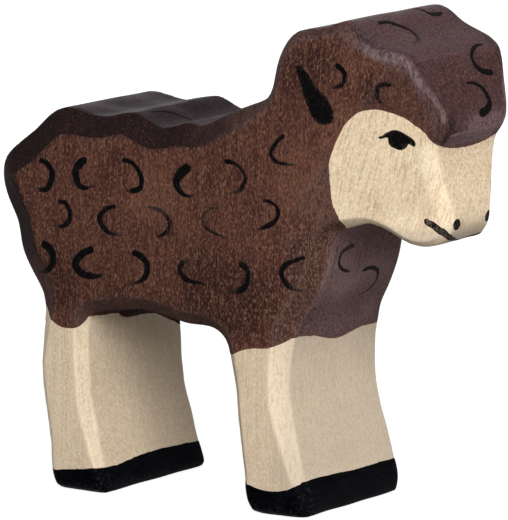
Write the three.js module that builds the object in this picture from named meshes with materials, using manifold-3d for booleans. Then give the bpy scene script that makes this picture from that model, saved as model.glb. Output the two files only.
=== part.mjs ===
// A standing wooden lamb: one thick board sawn to the animal's outline, with its edges cut back,
// the cheeks pared to a narrow muzzle, and the stained and painted coats that lie on the wood.
// Millimetres, +X towards the nose, +Y towards the lamb's left flank, +Z up.

import * as THREE from 'three';
import { mergeVertices } from 'three/addons/utils/BufferGeometryUtils.js';
import Module from 'manifold-3d';

// Driving dimensions of the board and of the animal's outline.
const boardThickness = 26;
const legSpacing = 32.2;
const hindLegWidth = 8.4;
const frontLegWidth = 9;
const archHeight = 26.4;
const backHeight = 53;
const headTop = 68.8;
const faceDepth = 30.8;
const headLength = 24.5;
const noseReach = 23.2;
const rumpReach = 15;

// The pared cheek: it starts this far behind the nose at the crown, runs back as it goes down to a
// floor above the chin, and takes this much off each side per millimetre forward.
const cheekSetback = 1.3;
const cheekRake = 0.75;
const cheekFloor = 4;
const cheekSlope = 0.36;

// Edges cut back all round the board: inset is measured down the side, depth through the thickness.
const soleEdge = { inset: 0.8, depth: 1.2 };
const legEdge = { inset: 1.4, depth: 1.5 };
const breastLegEdge = { inset: 2.2, depth: 2 };
const archEdge = { inset: 1.9, depth: 1.9 };
const rumpEdge = { inset: 3.9, depth: 2.4 };
const backEdge = { inset: 2.8, depth: 2.4 };
const napeEdge = { inset: 1.2, depth: 1.4 };
const crownEdge = { inset: 1.9, depth: 1.15 };
const fringeEdge = { inset: 0.9, depth: 1.2 };
const muzzleEdge = { inset: 1.6, depth: 1.25 };
const jawEdge = { inset: 0.9, depth: 1.2 };
const chestEdge = { inset: 1.8, depth: 3.3 };

// Coats and brush marks, thicker than real paint so that they are solids of their own.
const coatGap = 0.05;
const coatThickness = 0.1;
const hoofBandBase = 0.3;
const hindHoofHeight = 3.3;
const frontHoofHeight = 3.8;

// Brush strokes.
const curlRadius = 2.1;
const templeRadius = 1.65;
const curlSteps = 8;
const broadStroke = 0.85;
const plainStroke = 0.65;
const fineStroke = 0.45;
const strokeTail = 0.25;
const earLength = 9.4;
const earWidth = 3.5;
const pupilWidth = 2.7;
const pupilHeight = 2.5;
const lidStroke = 0.6;
const nostrilWidth = 1.1;
const nostrilHeight = 1.6;
const nostrilSpread = 0.85;
const mouthStroke = 0.55;
const earSlope = -54;
const earSteps = 10;
const pupilSteps = 12;
const nostrilSteps = 10;
const wallReach = 2;

// Sampling of the sawn outline.
const stepsPerPoint = 2;
const blendPasses = 3;
const cornerShare = 0.6;
const cornerEase = 0.4;

const wasm = await Module();
wasm.setup();

// Datums.
const hindX = 0;
const frontX = hindX + legSpacing;
const noseX = frontX + noseReach;
const napeX = noseX - headLength;
const rumpX = hindX - rumpReach;
const chinHeight = headTop - faceDepth;
const hindBack = hindX - hindLegWidth / 2;
const hindFront = hindX + hindLegWidth / 2;
const frontBack = frontX - frontLegWidth / 2;
const frontFront = frontX + frontLegWidth / 2;
const halfBoard = boardThickness / 2;
const outside = 2 * boardThickness;

// Places given as shares: of the arch's height, the trunk above it, the neck, the face, the breast,
// the distance between the legs, and the skull from nape to nose.
const between = (from, to, share) => from + (to - from) * share;
const leg = (share) => archHeight * share;
const trunk = (share) => between(archHeight, backHeight, share);
const neck = (share) => between(backHeight, headTop, share);
const face = (share) => between(chinHeight, headTop, share);
const breast = (share) => between(archHeight, chinHeight, share);
const along = (share) => between(hindX, frontX, share);
const skull = (share) => between(napeX, noseX, share);

// The sawn outline, clockwise as the right flank shows it, from the hind heel over the back.
const stretch = (edge, points) => points.map(([x, z]) => ({ x, z, ...edge }));
const outline = [
  ...stretch(soleEdge, [[hindBack - 0.1, 0], [hindBack - 1.2, 0.7]]),
  ...stretch(legEdge, [
    [hindBack - 1.9, 2.4], [hindBack - 2.3, leg(0.25)], [hindBack - 3.1, leg(0.455)],
    [hindBack - 3.7, leg(0.66)], [hindBack - 3.3, leg(0.87)],
  ]),
  ...stretch(rumpEdge, [
    [rumpX + 7, trunk(0.02)], [rumpX + 5, trunk(0.135)], [rumpX + 3.3, trunk(0.25)],
    [rumpX + 2.5, trunk(0.4)], [rumpX + 0.7, trunk(0.53)], [rumpX, trunk(0.64)],
    [rumpX + 0.7, trunk(0.74)], [rumpX + 2.8, trunk(0.81)], [rumpX + 5.6, trunk(0.89)],
    [rumpX + 8, trunk(0.975)], [rumpX + 10.6, trunk(1.02)],
  ]),
  ...stretch(backEdge, [
    [along(-0.03), backHeight + 0.1], [along(0.06), backHeight - 0.3],
    [along(0.146), backHeight + 0.3], [along(0.224), backHeight + 0.7],
    [along(0.29), backHeight - 0.2], [along(0.37), backHeight - 1.15], [along(0.5), backHeight],
    [along(0.56), backHeight - 0.45], [along(0.665), neck(0.06)], [along(0.776), neck(0.16)],
  ]),
  ...stretch(napeEdge, [
    [skull(-0.106), neck(0.24)], [skull(-0.041), neck(0.285)], [napeX, neck(0.42)],
    [skull(0.024), neck(0.6)], [skull(0.082), neck(0.778)], [skull(0.155), neck(0.88)],
    [skull(0.257), neck(0.911)], [skull(0.355), neck(0.943)], [skull(0.457), headTop],
  ]),
  ...stretch(crownEdge, [
    [skull(0.547), face(0.984)], [skull(0.629), face(0.935)], [skull(0.722), face(0.903)],
    [skull(0.82), face(0.873)], [skull(0.886), face(0.841)],
  ]),
  ...stretch(fringeEdge, [
    [skull(0.922), face(0.786)], [skull(0.959), face(0.708)], [skull(1.004), face(0.617)],
    [skull(1.02), face(0.552)], [skull(0.998), face(0.5)], [skull(0.961), face(0.461)],
  ]),
  ...stretch(muzzleEdge, [
    [skull(0.955), face(0.39)], [skull(0.971), face(0.276)], [skull(0.994), face(0.169)],
    [skull(0.996), face(0.114)],
  ]),
  ...stretch(jawEdge, [
    [skull(0.967), face(0.055)], [skull(0.91), face(0.016)], [skull(0.824), chinHeight],
    [skull(0.735), face(0.016)], [skull(0.645), face(0.062)], [skull(0.54), face(0.097)],
    [skull(0.445), face(0.084)],
  ]),
  ...stretch(chestEdge, [
    [skull(0.367), chinHeight + 1.6], [frontX + 6.8, breast(1)], [frontX + 6.2, breast(0.785)],
    [frontX + 5.4, breast(0.55)], [frontX + 4.1, breast(0.32)], [frontX + 2.3, breast(0.05)],
  ]),
  ...stretch(breastLegEdge, [
    [frontFront - 3.2, leg(0.9)], [frontFront - 3.7, leg(0.74)], [frontFront - 3.5, leg(0.6)],
    [frontFront - 2.8, leg(0.47)],
  ]),
  ...stretch(legEdge, [[frontFront - 1.6, leg(0.3)], [frontFront - 0.9, leg(0.2)]]),
  ...stretch(soleEdge, [
    [frontFront - 0.1, 3.4], [frontFront, 1.6], [frontFront - 0.6, 0.2], [frontFront - 1.7, 0],
    [frontBack + 1.9, 0], [frontBack - 0.1, 0.35], [frontBack - 1.2, 2.2],
  ]),
  ...stretch(legEdge, [
    [frontBack - 1.6, leg(0.19)], [frontBack - 2.4, leg(0.38)], [frontBack - 3.1, leg(0.59)],
  ]),
  ...stretch(archEdge, [
    [frontBack - 4.2, leg(0.795)], [frontBack - 5.3, leg(0.9)], [frontBack - 7.5, leg(0.947)],
    [along(0.512), leg(0.95)], [along(0.394), leg(0.985)], [along(0.28), leg(1)],
    [along(0.155), leg(0.98)], [hindX + 1.4, leg(0.96)],
  ]),
  ...stretch(legEdge, [
    [hindFront - 4, leg(0.917)], [hindFront - 4.1, leg(0.7)], [hindFront - 3.6, leg(0.475)],
    [hindFront - 2.4, leg(0.3)],
  ]),
  ...stretch(soleEdge, [
    [hindFront - 1.4, 4], [hindFront - 0.7, 1.9], [hindFront - 0.5, 0.8], [hindFront - 1, 0.1],
    [hindFront - 2.3, 0],
  ]),
];

// What the pared cheek takes off each side at a place on the flank.
const cheekFloorZ = chinHeight + cheekFloor;
const foldX = (z) => noseX - cheekSetback - cheekRake * (headTop - Math.max(z, cheekFloorZ));
const sideHalf = (x, z) => halfBoard - Math.max(0, cheekSlope * (x - foldX(z)));

// Samples of the sawn outline: a smooth curve through its points, flat where it meets the table,
// with the cut-back edge blended from one stretch to the next.
function sampleOutline() {
  const curve = new THREE.CatmullRomCurve3(
    outline.map(({ x, z }) => new THREE.Vector3(x, z, 0)), true, 'centripetal');
  const count = outline.length * stepsPerPoint;
  const samples = [];
  for (let i = 0; i < count; i += 1) {
    const point = curve.getPoint(i / count);
    const share = i / stepsPerPoint;
    const from = outline[Math.floor(share)];
    const to = outline[(Math.floor(share) + 1) % outline.length];
    samples.push({
      x: point.x,
      z: Math.max(point.y, 0),
      inset: between(from.inset, to.inset, share % 1),
      depth: between(from.depth, to.depth, share % 1),
    });
  }
  for (let pass = 0; pass < blendPasses; pass += 1) {
    const old = samples.map(({ inset, depth }) => ({ inset, depth }));
    samples.forEach((sample, i) => {
      const before = old[(i + count - 1) % count];
      const after = old[(i + 1) % count];
      sample.inset = (before.inset + 2 * old[i].inset + after.inset) / 4;
      sample.depth = (before.depth + 2 * old[i].depth + after.depth) / 4;
    });
  }
  samples.forEach((sample, i) => {
    const before = samples[(i + count - 1) % count];
    const after = samples[(i + 1) % count];
    const length = Math.hypot(after.x - before.x, after.z - before.z);
    sample.outX = -(after.z - before.z) / length;
    sample.outZ = (after.x - before.x) / length;
  });
  easeCorners(samples);
  return samples;
}

// A cut-back edge can't be wider than a corner it turns round, and narrows gradually towards one.
function easeCorners(samples) {
  const count = samples.length;
  const limits = samples.map((sample, i) => {
    const before = samples[(i + count - 2) % count];
    const after = samples[(i + 2) % count];
    const turn = Math.atan2(
      before.outZ * after.outX - before.outX * after.outZ,
      before.outX * after.outX + before.outZ * after.outZ);
    const length = Math.hypot(after.x - before.x, after.z - before.z);
    return turn > 0 ? cornerShare * length / turn : Infinity;
  });
  samples.forEach((sample, i) => {
    samples.forEach((other, j) => {
      const apart = Math.hypot(sample.x - other.x, sample.z - other.z);
      sample.inset = Math.min(sample.inset, limits[j] + cornerEase * apart);
    });
  });
}

const sideX = (sample) => sample.x - sample.outX * sample.inset;
const sideZ = (sample) => sample.z - sample.outZ * sample.inset;

// Puts a sample where a fold of the cheek, run from the fold's corner, meets the side's rim.
function splitRim(samples, corner, direction) {
  let best = null;
  samples.forEach((from, i) => {
    const to = samples[(i + 1) % samples.length];
    const edgeX = sideX(to) - sideX(from);
    const edgeZ = sideZ(to) - sideZ(from);
    const cross = direction.x * edgeZ - direction.z * edgeX;
    const gapX = sideX(from) - corner.x;
    const gapZ = sideZ(from) - corner.z;
    const distance = (gapX * edgeZ - gapZ * edgeX) / cross;
    const share = (gapX * direction.z - gapZ * direction.x) / cross;
    if (distance > 0 && share >= 0 && share < 1 && (!best || distance < best.distance)) {
      best = { distance, share, from, to, i };
    }
  });
  const added = {};
  for (const key of Object.keys(best.from)) {
    added[key] = between(best.from[key], best.to[key], best.share);
  }
  samples.splice(best.i + 1, 0, added);
  return added;
}

const samples = sampleOutline();
const foldCorner = { x: foldX(cheekFloorZ), z: cheekFloorZ };
const crownFold = splitRim(samples, foldCorner, { x: cheekRake, z: 1 });
const muzzleFold = splitRim(samples, foldCorner, { x: 1, z: 0 });
const chestFold = splitRim(samples, foldCorner, { x: 0, z: -1 });

// The side's faces, triangulated once: the flat flank, the cheek above the fold and the throat.
function sideTriangles() {
  const count = samples.length;
  const rim = (from, to) => {
    const indices = [];
    for (let i = samples.indexOf(from); ; i = (i + 1) % count) {
      indices.push(i);
      if (samples[i] === to) {
        return indices;
      }
    }
  };
  const patches = [rim(crownFold, muzzleFold), rim(muzzleFold, chestFold), rim(chestFold, crownFold)];
  return patches.flatMap((indices) => {
    const contour = indices.map((i) => new THREE.Vector2(sideX(samples[i]), sideZ(samples[i])));
    contour.push(new THREE.Vector2(foldCorner.x, foldCorner.z));
    const numbers = [...indices, count];
    return THREE.ShapeUtils.triangulateShape(contour, []).map((triangle) => {
      const area = THREE.ShapeUtils.area(triangle.map((k) => contour[k]));
      const turned = area > 0 ? triangle : [...triangle].reverse();
      return turned.map((k) => numbers[k]);
    });
  });
}
const flankTriangles = sideTriangles();

// The carved wood, grown outwards by a given amount for the coats that lie on it. Each sample has
// four corners: the wall's two rims and the side's two rims, and the fold's corner ends the list.
function woodSolid(grow) {
  const positions = [];
  const triangles = [];
  const count = samples.length;
  for (const sample of samples) {
    const slant = Math.hypot(sample.inset, sample.depth);
    const side = sideHalf(sideX(sample), sideZ(sample)) + grow;
    const wall = side - grow - sample.depth + grow * (slant - sample.depth) / sample.inset;
    const slide = grow * (slant - sample.inset) / sample.depth;
    const wallX = sample.x + sample.outX * grow;
    const wallZ = sample.z + sample.outZ * grow;
    const rimX = sideX(sample) + sample.outX * slide;
    const rimZ = sideZ(sample) + sample.outZ * slide;
    positions.push(wallX, -wall, wallZ, wallX, wall, wallZ, rimX, -side, rimZ, rimX, side, rimZ);
  }
  positions.push(foldCorner.x, 0, foldCorner.z, foldCorner.x, 0, foldCorner.z);
  positions[12 * count + 1] = -halfBoard - grow;
  positions[12 * count + 4] = halfBoard + grow;
  for (let i = 0; i < count; i += 1) {
    const [wallRight, wallLeft, sideRight, sideLeft] = [4 * i, 4 * i + 1, 4 * i + 2, 4 * i + 3];
    const j = (i + 1) % count;
    const [nextWallRight, nextWallLeft] = [4 * j, 4 * j + 1];
    const [nextSideRight, nextSideLeft] = [4 * j + 2, 4 * j + 3];
    triangles.push(wallRight, nextWallRight, nextWallLeft, wallRight, nextWallLeft, wallLeft);
    triangles.push(wallRight, sideRight, nextSideRight, wallRight, nextSideRight, nextWallRight);
    triangles.push(wallLeft, nextSideLeft, sideLeft, wallLeft, nextWallLeft, nextSideLeft);
  }
  for (const triangle of flankTriangles) {
    const right = triangle.map((k) => (k < count ? 4 * k + 2 : 4 * count));
    const left = triangle.map((k) => (k < count ? 4 * k + 3 : 4 * count + 1));
    triangles.push(...right, ...left.reverse());
  }
  return new wasm.Manifold(new wasm.Mesh({
    numProp: 3,
    vertProperties: new Float32Array(positions),
    triVerts: new Uint32Array(triangles),
  }));
}

function solidOf(geometry) {
  geometry.deleteAttribute('normal');
  geometry.deleteAttribute('uv');
  const merged = mergeVertices(geometry, 1e-5);
  return new wasm.Manifold(new wasm.Mesh({
    numProp: 3,
    vertProperties: new Float32Array(merged.attributes.position.array),
    triVerts: new Uint32Array(merged.index.array),
  }));
}

// A prism over an outline drawn on a plane, run out from the plane and back into the wood.
function prism(points, plane) {
  const geometry = new THREE.ExtrudeGeometry(new THREE.Shape(points), {
    depth: plane.reach + plane.sink, bevelEnabled: false, steps: 1,
  });
  geometry.translate(0, 0, -plane.sink);
  const frame = new THREE.Matrix4().makeBasis(plane.u, plane.v, plane.out);
  frame.setPosition(plane.origin);
  geometry.applyMatrix4(frame);
  return solidOf(geometry);
}

// Planes to draw on: right through the board, either flank, and a spot on the sawn wall.
const xAxis = new THREE.Vector3(1, 0, 0);
const yAxis = new THREE.Vector3(0, 1, 0);
const zAxis = new THREE.Vector3(0, 0, 1);
const throughBoard = {
  u: xAxis, v: zAxis, out: new THREE.Vector3(0, -1, 0), origin: new THREE.Vector3(),
  reach: outside, sink: outside,
};
const flanks = {
  right: { ...throughBoard, sink: 0 },
  left: { ...throughBoard, reach: 0 },
};
function wallPlane(x, y, z) {
  const apart = (sample) => Math.hypot(sample.x - x, sample.z - z);
  const spot = samples.reduce((best, sample) => (apart(sample) < apart(best) ? sample : best));
  const out = new THREE.Vector3(spot.outX, 0, spot.outZ);
  return {
    u: new THREE.Vector3().crossVectors(yAxis, out), v: yAxis, out,
    origin: new THREE.Vector3(spot.x, y, spot.z), reach: wallReach, sink: wallReach,
  };
}

const spots = (points) => points.map(([u, v]) => new THREE.Vector2(u, v));

// One brush stroke: a path given a width along its length, with a rounded end where the brush was
// put down and a point where it was lifted.
function brushStroke(path, widthAt) {
  const last = path.length - 1;
  const heading = (i) => path[Math.min(i + 1, last)].clone().sub(path[Math.max(i - 1, 0)]).normalize();
  const edge = (side) => path.map((point, i) => {
    const way = heading(i);
    const half = side * widthAt(i / last) / 2;
    return new THREE.Vector2(point.x - way.y * half, point.y + way.x * half);
  });
  const start = path[0].clone().addScaledVector(heading(0), -widthAt(0) / 2);
  const end = path[last].clone().addScaledVector(heading(last), widthAt(1) / 2);
  return [start, ...edge(1), end, ...edge(-1).reverse()];
}

// A curl of fleece: part of a circle whose bulge points along an angle in degrees. A negative sweep
// is brushed clockwise.
function curl({ u, v, bulge, sweep, width, radius = curlRadius }) {
  const path = [];
  for (let i = 0; i <= curlSteps; i += 1) {
    const angle = THREE.MathUtils.degToRad(bulge + sweep * (i / curlSteps - 0.5));
    path.push(new THREE.Vector2(u + radius * Math.cos(angle), v + radius * Math.sin(angle)));
  }
  return brushStroke(path, (share) => between(width, strokeTail, share ** 2));
}

function ellipse(u, v, width, height, steps) {
  const points = [];
  for (let i = 0; i < steps; i += 1) {
    const angle = 2 * Math.PI * i / steps;
    points.push(new THREE.Vector2(u + width / 2 * Math.cos(angle), v + height / 2 * Math.sin(angle)));
  }
  return points;
}

// The wood, and the surfaces that bound the first coat and the marks brushed over it.
const wood = woodSolid(0);
const firstBase = woodSolid(coatGap);
const firstTop = woodSolid(coatGap + coatThickness);
const secondBase = woodSolid(2 * coatGap + coatThickness);
const secondTop = woodSolid(2 * (coatGap + coatThickness));
const onWood = (area) => area.intersect(firstTop).subtract(firstBase);
const onFleece = (area) => area.intersect(secondTop).subtract(secondBase);

// The bare face: from the fringe's lower edge back over the cheek and down to the throat.
const barefaced = spots([
  [noseX + outside, face(0.461)], [skull(0.959), face(0.461)], [skull(0.943), face(0.494)],
  [skull(0.918), face(0.532)], [skull(0.878), face(0.565)], [skull(0.82), face(0.591)],
  [skull(0.743), face(0.617)], [skull(0.669), face(0.627)], [skull(0.592), face(0.61)],
  [skull(0.535), face(0.578)], [skull(0.486), face(0.539)], [skull(0.437), face(0.468)],
  [skull(0.396), face(0.386)], [skull(0.375), face(0.286)], [skull(0.376), face(0.182)],
  [skull(0.396), face(0.123)], [skull(0.402), face(0.078)], [skull(0.388), face(0.039)],
  [skull(0.453), face(-0.065)], [noseX + outside, face(-0.26)],
]);

// The bare legs, below the ragged lower edge of the stain.
const hindBare = spots([
  [rumpX - outside, leg(0.97)], [hindBack - 2.8, leg(0.962)], [hindBack - 1.6, leg(0.92)],
  [hindBack + 0.1, leg(0.883)], [hindBack + 1.7, leg(0.871)], [hindFront - 5.2, leg(0.879)],
  [hindFront - 3.8, leg(0.909)], [hindFront - 1.2, leg(0.87)], [hindFront + 2, leg(0.75)],
  [hindFront + 2, -outside], [rumpX - outside, -outside],
]);
const frontBare = spots([
  [frontBack - 7.7, leg(0.792)], [frontBack - 4.1, leg(0.811)], [frontBack - 2.7, leg(0.833)],
  [frontBack - 0.6, leg(0.864)], [frontBack + 1.8, leg(0.879)], [frontFront - 4.7, leg(0.894)],
  [frontFront - 3.1, leg(0.902)], [frontX + outside, leg(0.902)], [frontX + outside, -outside],
  [frontBack - 7.7, -outside],
]);
const fleece = firstTop.subtract(firstBase).subtract(prism(barefaced, throughBoard))
  .subtract(prism(hindBare, throughBoard)).subtract(prism(frontBare, throughBoard));

// The black bands round the feet, a little higher towards the toe.
const hindHoof = spots([
  [hindBack - outside, hoofBandBase], [hindFront + 2, hoofBandBase],
  [hindFront + 2, hindHoofHeight + 0.8], [hindFront - 0.8, hindHoofHeight + 0.6],
  [hindX, hindHoofHeight], [hindBack - outside, hindHoofHeight - 0.6],
]);
const frontHoof = spots([
  [frontX - legSpacing / 2, hoofBandBase], [frontX + outside, hoofBandBase],
  [frontX + outside, frontHoofHeight + 1.1], [frontFront - 1.5, frontHoofHeight + 0.9],
  [frontX, frontHoofHeight - 0.2], [frontBack, frontHoofHeight],
  [frontX - legSpacing / 2, frontHoofHeight + 0.4],
]);

// The painted ear: a leaf from its tip to its rounded base.
const earTip = new THREE.Vector2(skull(0.18), face(0.792));
const earLine = new THREE.Vector2(earLength, 0);
earLine.rotateAround(new THREE.Vector2(), THREE.MathUtils.degToRad(earSlope));
const earPath = [];
for (let i = 1; i < earSteps; i += 1) {
  earPath.push(earTip.clone().addScaledVector(earLine, i / earSteps));
}
const ear = brushStroke(earPath, (share) => {
  const place = between(1 / earSteps, 1 - 1 / earSteps, share);
  return earWidth * Math.sin(Math.PI * place ** 1.5) ** 0.75;
});

// The painted eye: a pupil under a lid that runs out past it at both ends.
const eyeX = skull(0.771);
const eyeZ = face(0.484);
const pupil = ellipse(eyeX, eyeZ, pupilWidth, pupilHeight, pupilSteps);
const lid = brushStroke(spots([
  [-0.89, 0.16], [-0.44, 0.28], [-0.19, 0.48], [0.07, 0.56], [0.37, 0.4], [0.67, 0.12], [0.78, -0.28],
].map(([u, v]) => [eyeX + u * pupilWidth, eyeZ + v * pupilHeight])), () => lidStroke);

// A nostril on the muzzle's front, near its edge on each side.
const nostril = ellipse(0, 0, nostrilHeight, nostrilWidth, nostrilSteps);
const nostrilZ = face(0.104);
const muzzleHalf = sideHalf(noseX, nostrilZ) - muzzleEdge.depth;

// The mouth runs up both cheeks from the chin's front edge.
const mouth = brushStroke(spots([
  [skull(1.016), face(0.023)], [skull(0.959), face(0.062)], [skull(0.918), face(0.091)],
  [skull(0.845), face(0.133)],
]), () => mouthStroke);

// Curls on the flank in three rows, turned alternately towards the tail and the nose.
const flankRows = [
  [[-0.217, 0.665, broadStroke], [0.034, 0.692, broadStroke], [0.245, 0.703, plainStroke],
    [0.556, 0.703, broadStroke], [0.77, 0.752, plainStroke], [1.053, 0.91, plainStroke]],
  [[-0.118, 0.47, plainStroke], [0.171, 0.462, plainStroke], [0.385, 0.477, plainStroke],
    [0.711, 0.511, fineStroke], [0.929, 0.571, plainStroke]],
  [[-0.214, 0.229, broadStroke], [0.05, 0.226, broadStroke], [0.27, 0.226, plainStroke],
    [0.59, 0.244, plainStroke], [0.795, 0.237, broadStroke], [1.1, 0.278, plainStroke]],
];
const tailward = { bulge: 200, sweep: 215 };
const noseward = { bulge: -5, sweep: -205 };
const flankCurls = flankRows.flatMap((row) => row.map(([share, height, width], i) => curl({
  u: along(share), v: trunk(height), width, ...(i % 2 ? tailward : noseward),
})));
const templeCurls = [
  curl({ u: skull(0.429), v: face(0.756), width: plainStroke, radius: templeRadius, ...noseward }),
  curl({ u: skull(0.755), v: face(0.692), width: fineStroke, radius: templeRadius, ...tailward }),
];

// Curls on the sawn wall, drawn with u along the outline and v through the board. Each is placed by
// a spot on the outline and a share of the half thickness, negative towards the right flank.
const bulgeRight = { bulge: -90, sweep: 205 };
const bulgeLeft = { bulge: 90, sweep: -205 };
const wallCurls = {
  crown_curl_1: { x: skull(0.633), z: face(0.932), across: -0.43, width: plainStroke, ...bulgeLeft },
  crown_curl_2: { x: skull(0.51), z: face(0.987), across: 0.54, width: fineStroke, ...bulgeRight },
  forehead_curl_1: { x: skull(0.918), z: face(0.792), across: 0.36, width: plainStroke, ...bulgeRight },
  forehead_curl_2: { x: skull(0.988), z: face(0.646), across: 0.08, width: broadStroke, ...bulgeLeft },
  chest_curl_1: { x: frontX + 6.3, z: breast(0.82), across: -0.35, width: fineStroke, ...bulgeRight },
  chest_curl_2: { x: frontX + 4.8, z: breast(0.41), across: 0.2, width: fineStroke, ...bulgeLeft },
  back_curl_1: { x: along(0.3), z: backHeight - 0.3, across: -0.42, width: fineStroke, ...bulgeLeft },
  rump_curl_1: { x: rumpX, z: trunk(0.62), across: -0.34, width: plainStroke, ...bulgeRight },
  rump_curl_2: { x: rumpX + 2.4, z: trunk(0.38), across: 0.32, width: plainStroke, ...bulgeLeft },
};

// Every piece, named, with its colour.
const woodFinish = { color: 0xdcc9a4, roughness: 0.6, metalness: 0 };
const stainFinish = { color: 0x4a2e22, roughness: 0.5, metalness: 0 };
const paintFinish = { color: 0x14110f, roughness: 0.4, metalness: 0 };
const lamb = new THREE.Group();

function addPiece(name, solid, finish) {
  const { vertProperties, triVerts } = solid.getMesh();
  const geometry = new THREE.BufferGeometry();
  geometry.setAttribute('position', new THREE.BufferAttribute(vertProperties, 3));
  geometry.setIndex(new THREE.BufferAttribute(triVerts, 1));
  geometry.computeVertexNormals();
  const piece = new THREE.Mesh(geometry, new THREE.MeshStandardMaterial(finish));
  piece.name = name;
  lamb.add(piece);
}

addPiece('carved_body', wood, woodFinish);
addPiece('fleece_stain', fleece, stainFinish);
addPiece('hind_hoof_paint', onWood(prism(hindHoof, throughBoard)), paintFinish);
addPiece('front_hoof_paint', onWood(prism(frontHoof, throughBoard)), paintFinish);
addPiece('mouth_mark', onWood(prism(mouth, throughBoard)), paintFinish);
for (const [side, plane] of Object.entries(flanks)) {
  const sign = side === 'left' ? 1 : -1;
  addPiece(`ear_mark_${side}`, onFleece(prism(ear, plane)), paintFinish);
  addPiece(`eye_mark_${side}`, onWood(prism(pupil, plane).add(prism(lid, plane))), paintFinish);
  const nostrilPlane = wallPlane(noseX, sign * nostrilSpread * muzzleHalf, nostrilZ);
  addPiece(`nostril_mark_${side}`, onWood(prism(nostril, nostrilPlane)), paintFinish);
  flankCurls.forEach((outline, i) => {
    addPiece(`flank_curl_${side}_${i + 1}`, onFleece(prism(outline, plane)), paintFinish);
  });
  templeCurls.forEach((outline, i) => {
    addPiece(`temple_curl_${side}_${i + 1}`, onFleece(prism(outline, plane)), paintFinish);
  });
}
for (const [name, { x, z, across, ...drawn }] of Object.entries(wallCurls)) {
  const plane = wallPlane(x, halfBoard * across, z);
  addPiece(name, onFleece(prism(curl({ u: 0, v: 0, ...drawn }), plane)), paintFinish);
}

// The origin is on the table, under the middle of the lamb.
const extent = new THREE.Box3().setFromObject(lamb);
lamb.position.x = -(extent.min.x + extent.max.x) / 2;

export default lamb;
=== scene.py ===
"""Looks of the standing wooden lamb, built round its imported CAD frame.

The row frame has the nose towards +X and Z up. Shapes are worked out in millimetres and
written in metres. Every piece is closed and stands for the CAD node or nodes that it replaces.
"""

import math

import bpy
import numpy as np
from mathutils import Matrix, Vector
from mathutils.bvhtree import BVHTree
from mathutils.geometry import delaunay_2d_cdt


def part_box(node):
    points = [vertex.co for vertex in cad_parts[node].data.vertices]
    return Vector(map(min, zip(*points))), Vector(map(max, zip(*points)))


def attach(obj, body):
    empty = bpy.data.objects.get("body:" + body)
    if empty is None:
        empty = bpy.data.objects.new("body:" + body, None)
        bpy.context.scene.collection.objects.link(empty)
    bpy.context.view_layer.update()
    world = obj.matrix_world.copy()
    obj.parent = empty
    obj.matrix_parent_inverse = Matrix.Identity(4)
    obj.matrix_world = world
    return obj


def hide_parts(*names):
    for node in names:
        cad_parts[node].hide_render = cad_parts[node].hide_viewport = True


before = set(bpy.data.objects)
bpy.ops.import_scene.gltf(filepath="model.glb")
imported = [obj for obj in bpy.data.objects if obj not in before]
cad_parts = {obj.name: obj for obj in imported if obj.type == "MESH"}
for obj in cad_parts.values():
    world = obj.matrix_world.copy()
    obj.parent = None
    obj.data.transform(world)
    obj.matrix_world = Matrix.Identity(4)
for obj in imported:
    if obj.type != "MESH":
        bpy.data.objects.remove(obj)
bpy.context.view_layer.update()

MM = 0.001

# The wood's own surface: an even net, faired, with sanded edges.
NET = 0.34
FAIRING_PASSES = 22
FAIRING_TOLERANCE = 0.012
SANDING_PASSES = 1
SANDING_SHARE = 0.5
HAND_WAVES = 14
HAND_WAVE_LENGTH = (5.0, 14.0)
HAND_WAVE_HEIGHT = 0.011
RIDGE_HEIGHT = 0.02
RIDGE_SPREAD = 3
FLAT_SIDE = 0.89
BRINK_SPREAD = 10
SHARP_ANGLE = 50

# Coats and brush marks, as thick as they look.
COAT_GAP = 0.004
STAIN_COAT = 0.04
HOOF_COAT = 0.05
COAT_EDGE = 0.014
COAT_FEATHER = 0.5
MARK_GAP = 0.004
MARK_EDGE = 0.012
MARK_DOME = 0.05
LEAST_CUT = 0.03
SOLE_GAP = 0.09
CURVE_STEP = 0.05
STROKE_STEP = 0.16
STROKE_WIDE = 8
BRUSH_WOBBLE = 0.14
BRUSH_FULL = 1.03
DRY_TAIL = 0.3
DRY_FROM = 0.7
WOBBLE_WINDOW = np.hanning(9)[1:-1] / np.hanning(9)[1:-1].sum()
WOBBLE_WIDTH = 0.5
PATCH_STEP = 0.24
BORDER_SEEN = 3.0

BRUSH_SEED = 27
random = np.random.default_rng(BRUSH_SEED)


def middle(node):
    """The middle of a CAD node's box, in mm."""
    low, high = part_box(node)
    return np.array((low + high) / 2) / MM


def between(low, high, share):
    return low + (high - low) * share


def eased(values, low, high):
    """0 up to low and 1 from high, smooth in between."""
    share = np.clip((np.asarray(values, float) - low) / (high - low), 0, 1)
    return share * share * (3 - 2 * share)


def spline(points, step, closed=False):
    """Evenly spaced samples of a smooth curve through points; columns past three ride along."""
    points = np.asarray(points, float)
    count = len(points)
    ends = count if closed else count - 1
    samples = []
    for i in range(ends):
        if closed:
            near = [points[(i + k) % count] for k in (-1, 0, 1, 2)]
        else:
            near = [points[min(max(i + k, 0), count - 1)] for k in (-1, 0, 1, 2)]
        a, b, c, d = near
        for t in np.arange(0, 1, CURVE_STEP):
            samples.append(
                0.5 * (2 * b + (c - a) * t + (2 * a - 5 * b + 4 * c - d) * t * t
                       + (3 * b - a - 3 * c + d) * t ** 3))
    samples.append(points[0] if closed else points[-1])
    samples = np.array(samples)
    lengths = np.linalg.norm(np.diff(samples[:, :3], axis=0), axis=1)
    run = np.concatenate([[0], np.cumsum(lengths)])
    number = max(int(run[-1] / step), 4)
    even = np.linspace(0, run[-1], number + 1)
    if closed:
        even = even[:-1]
    return np.stack([np.interp(even, run, column) for column in samples.T], axis=1)


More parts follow.
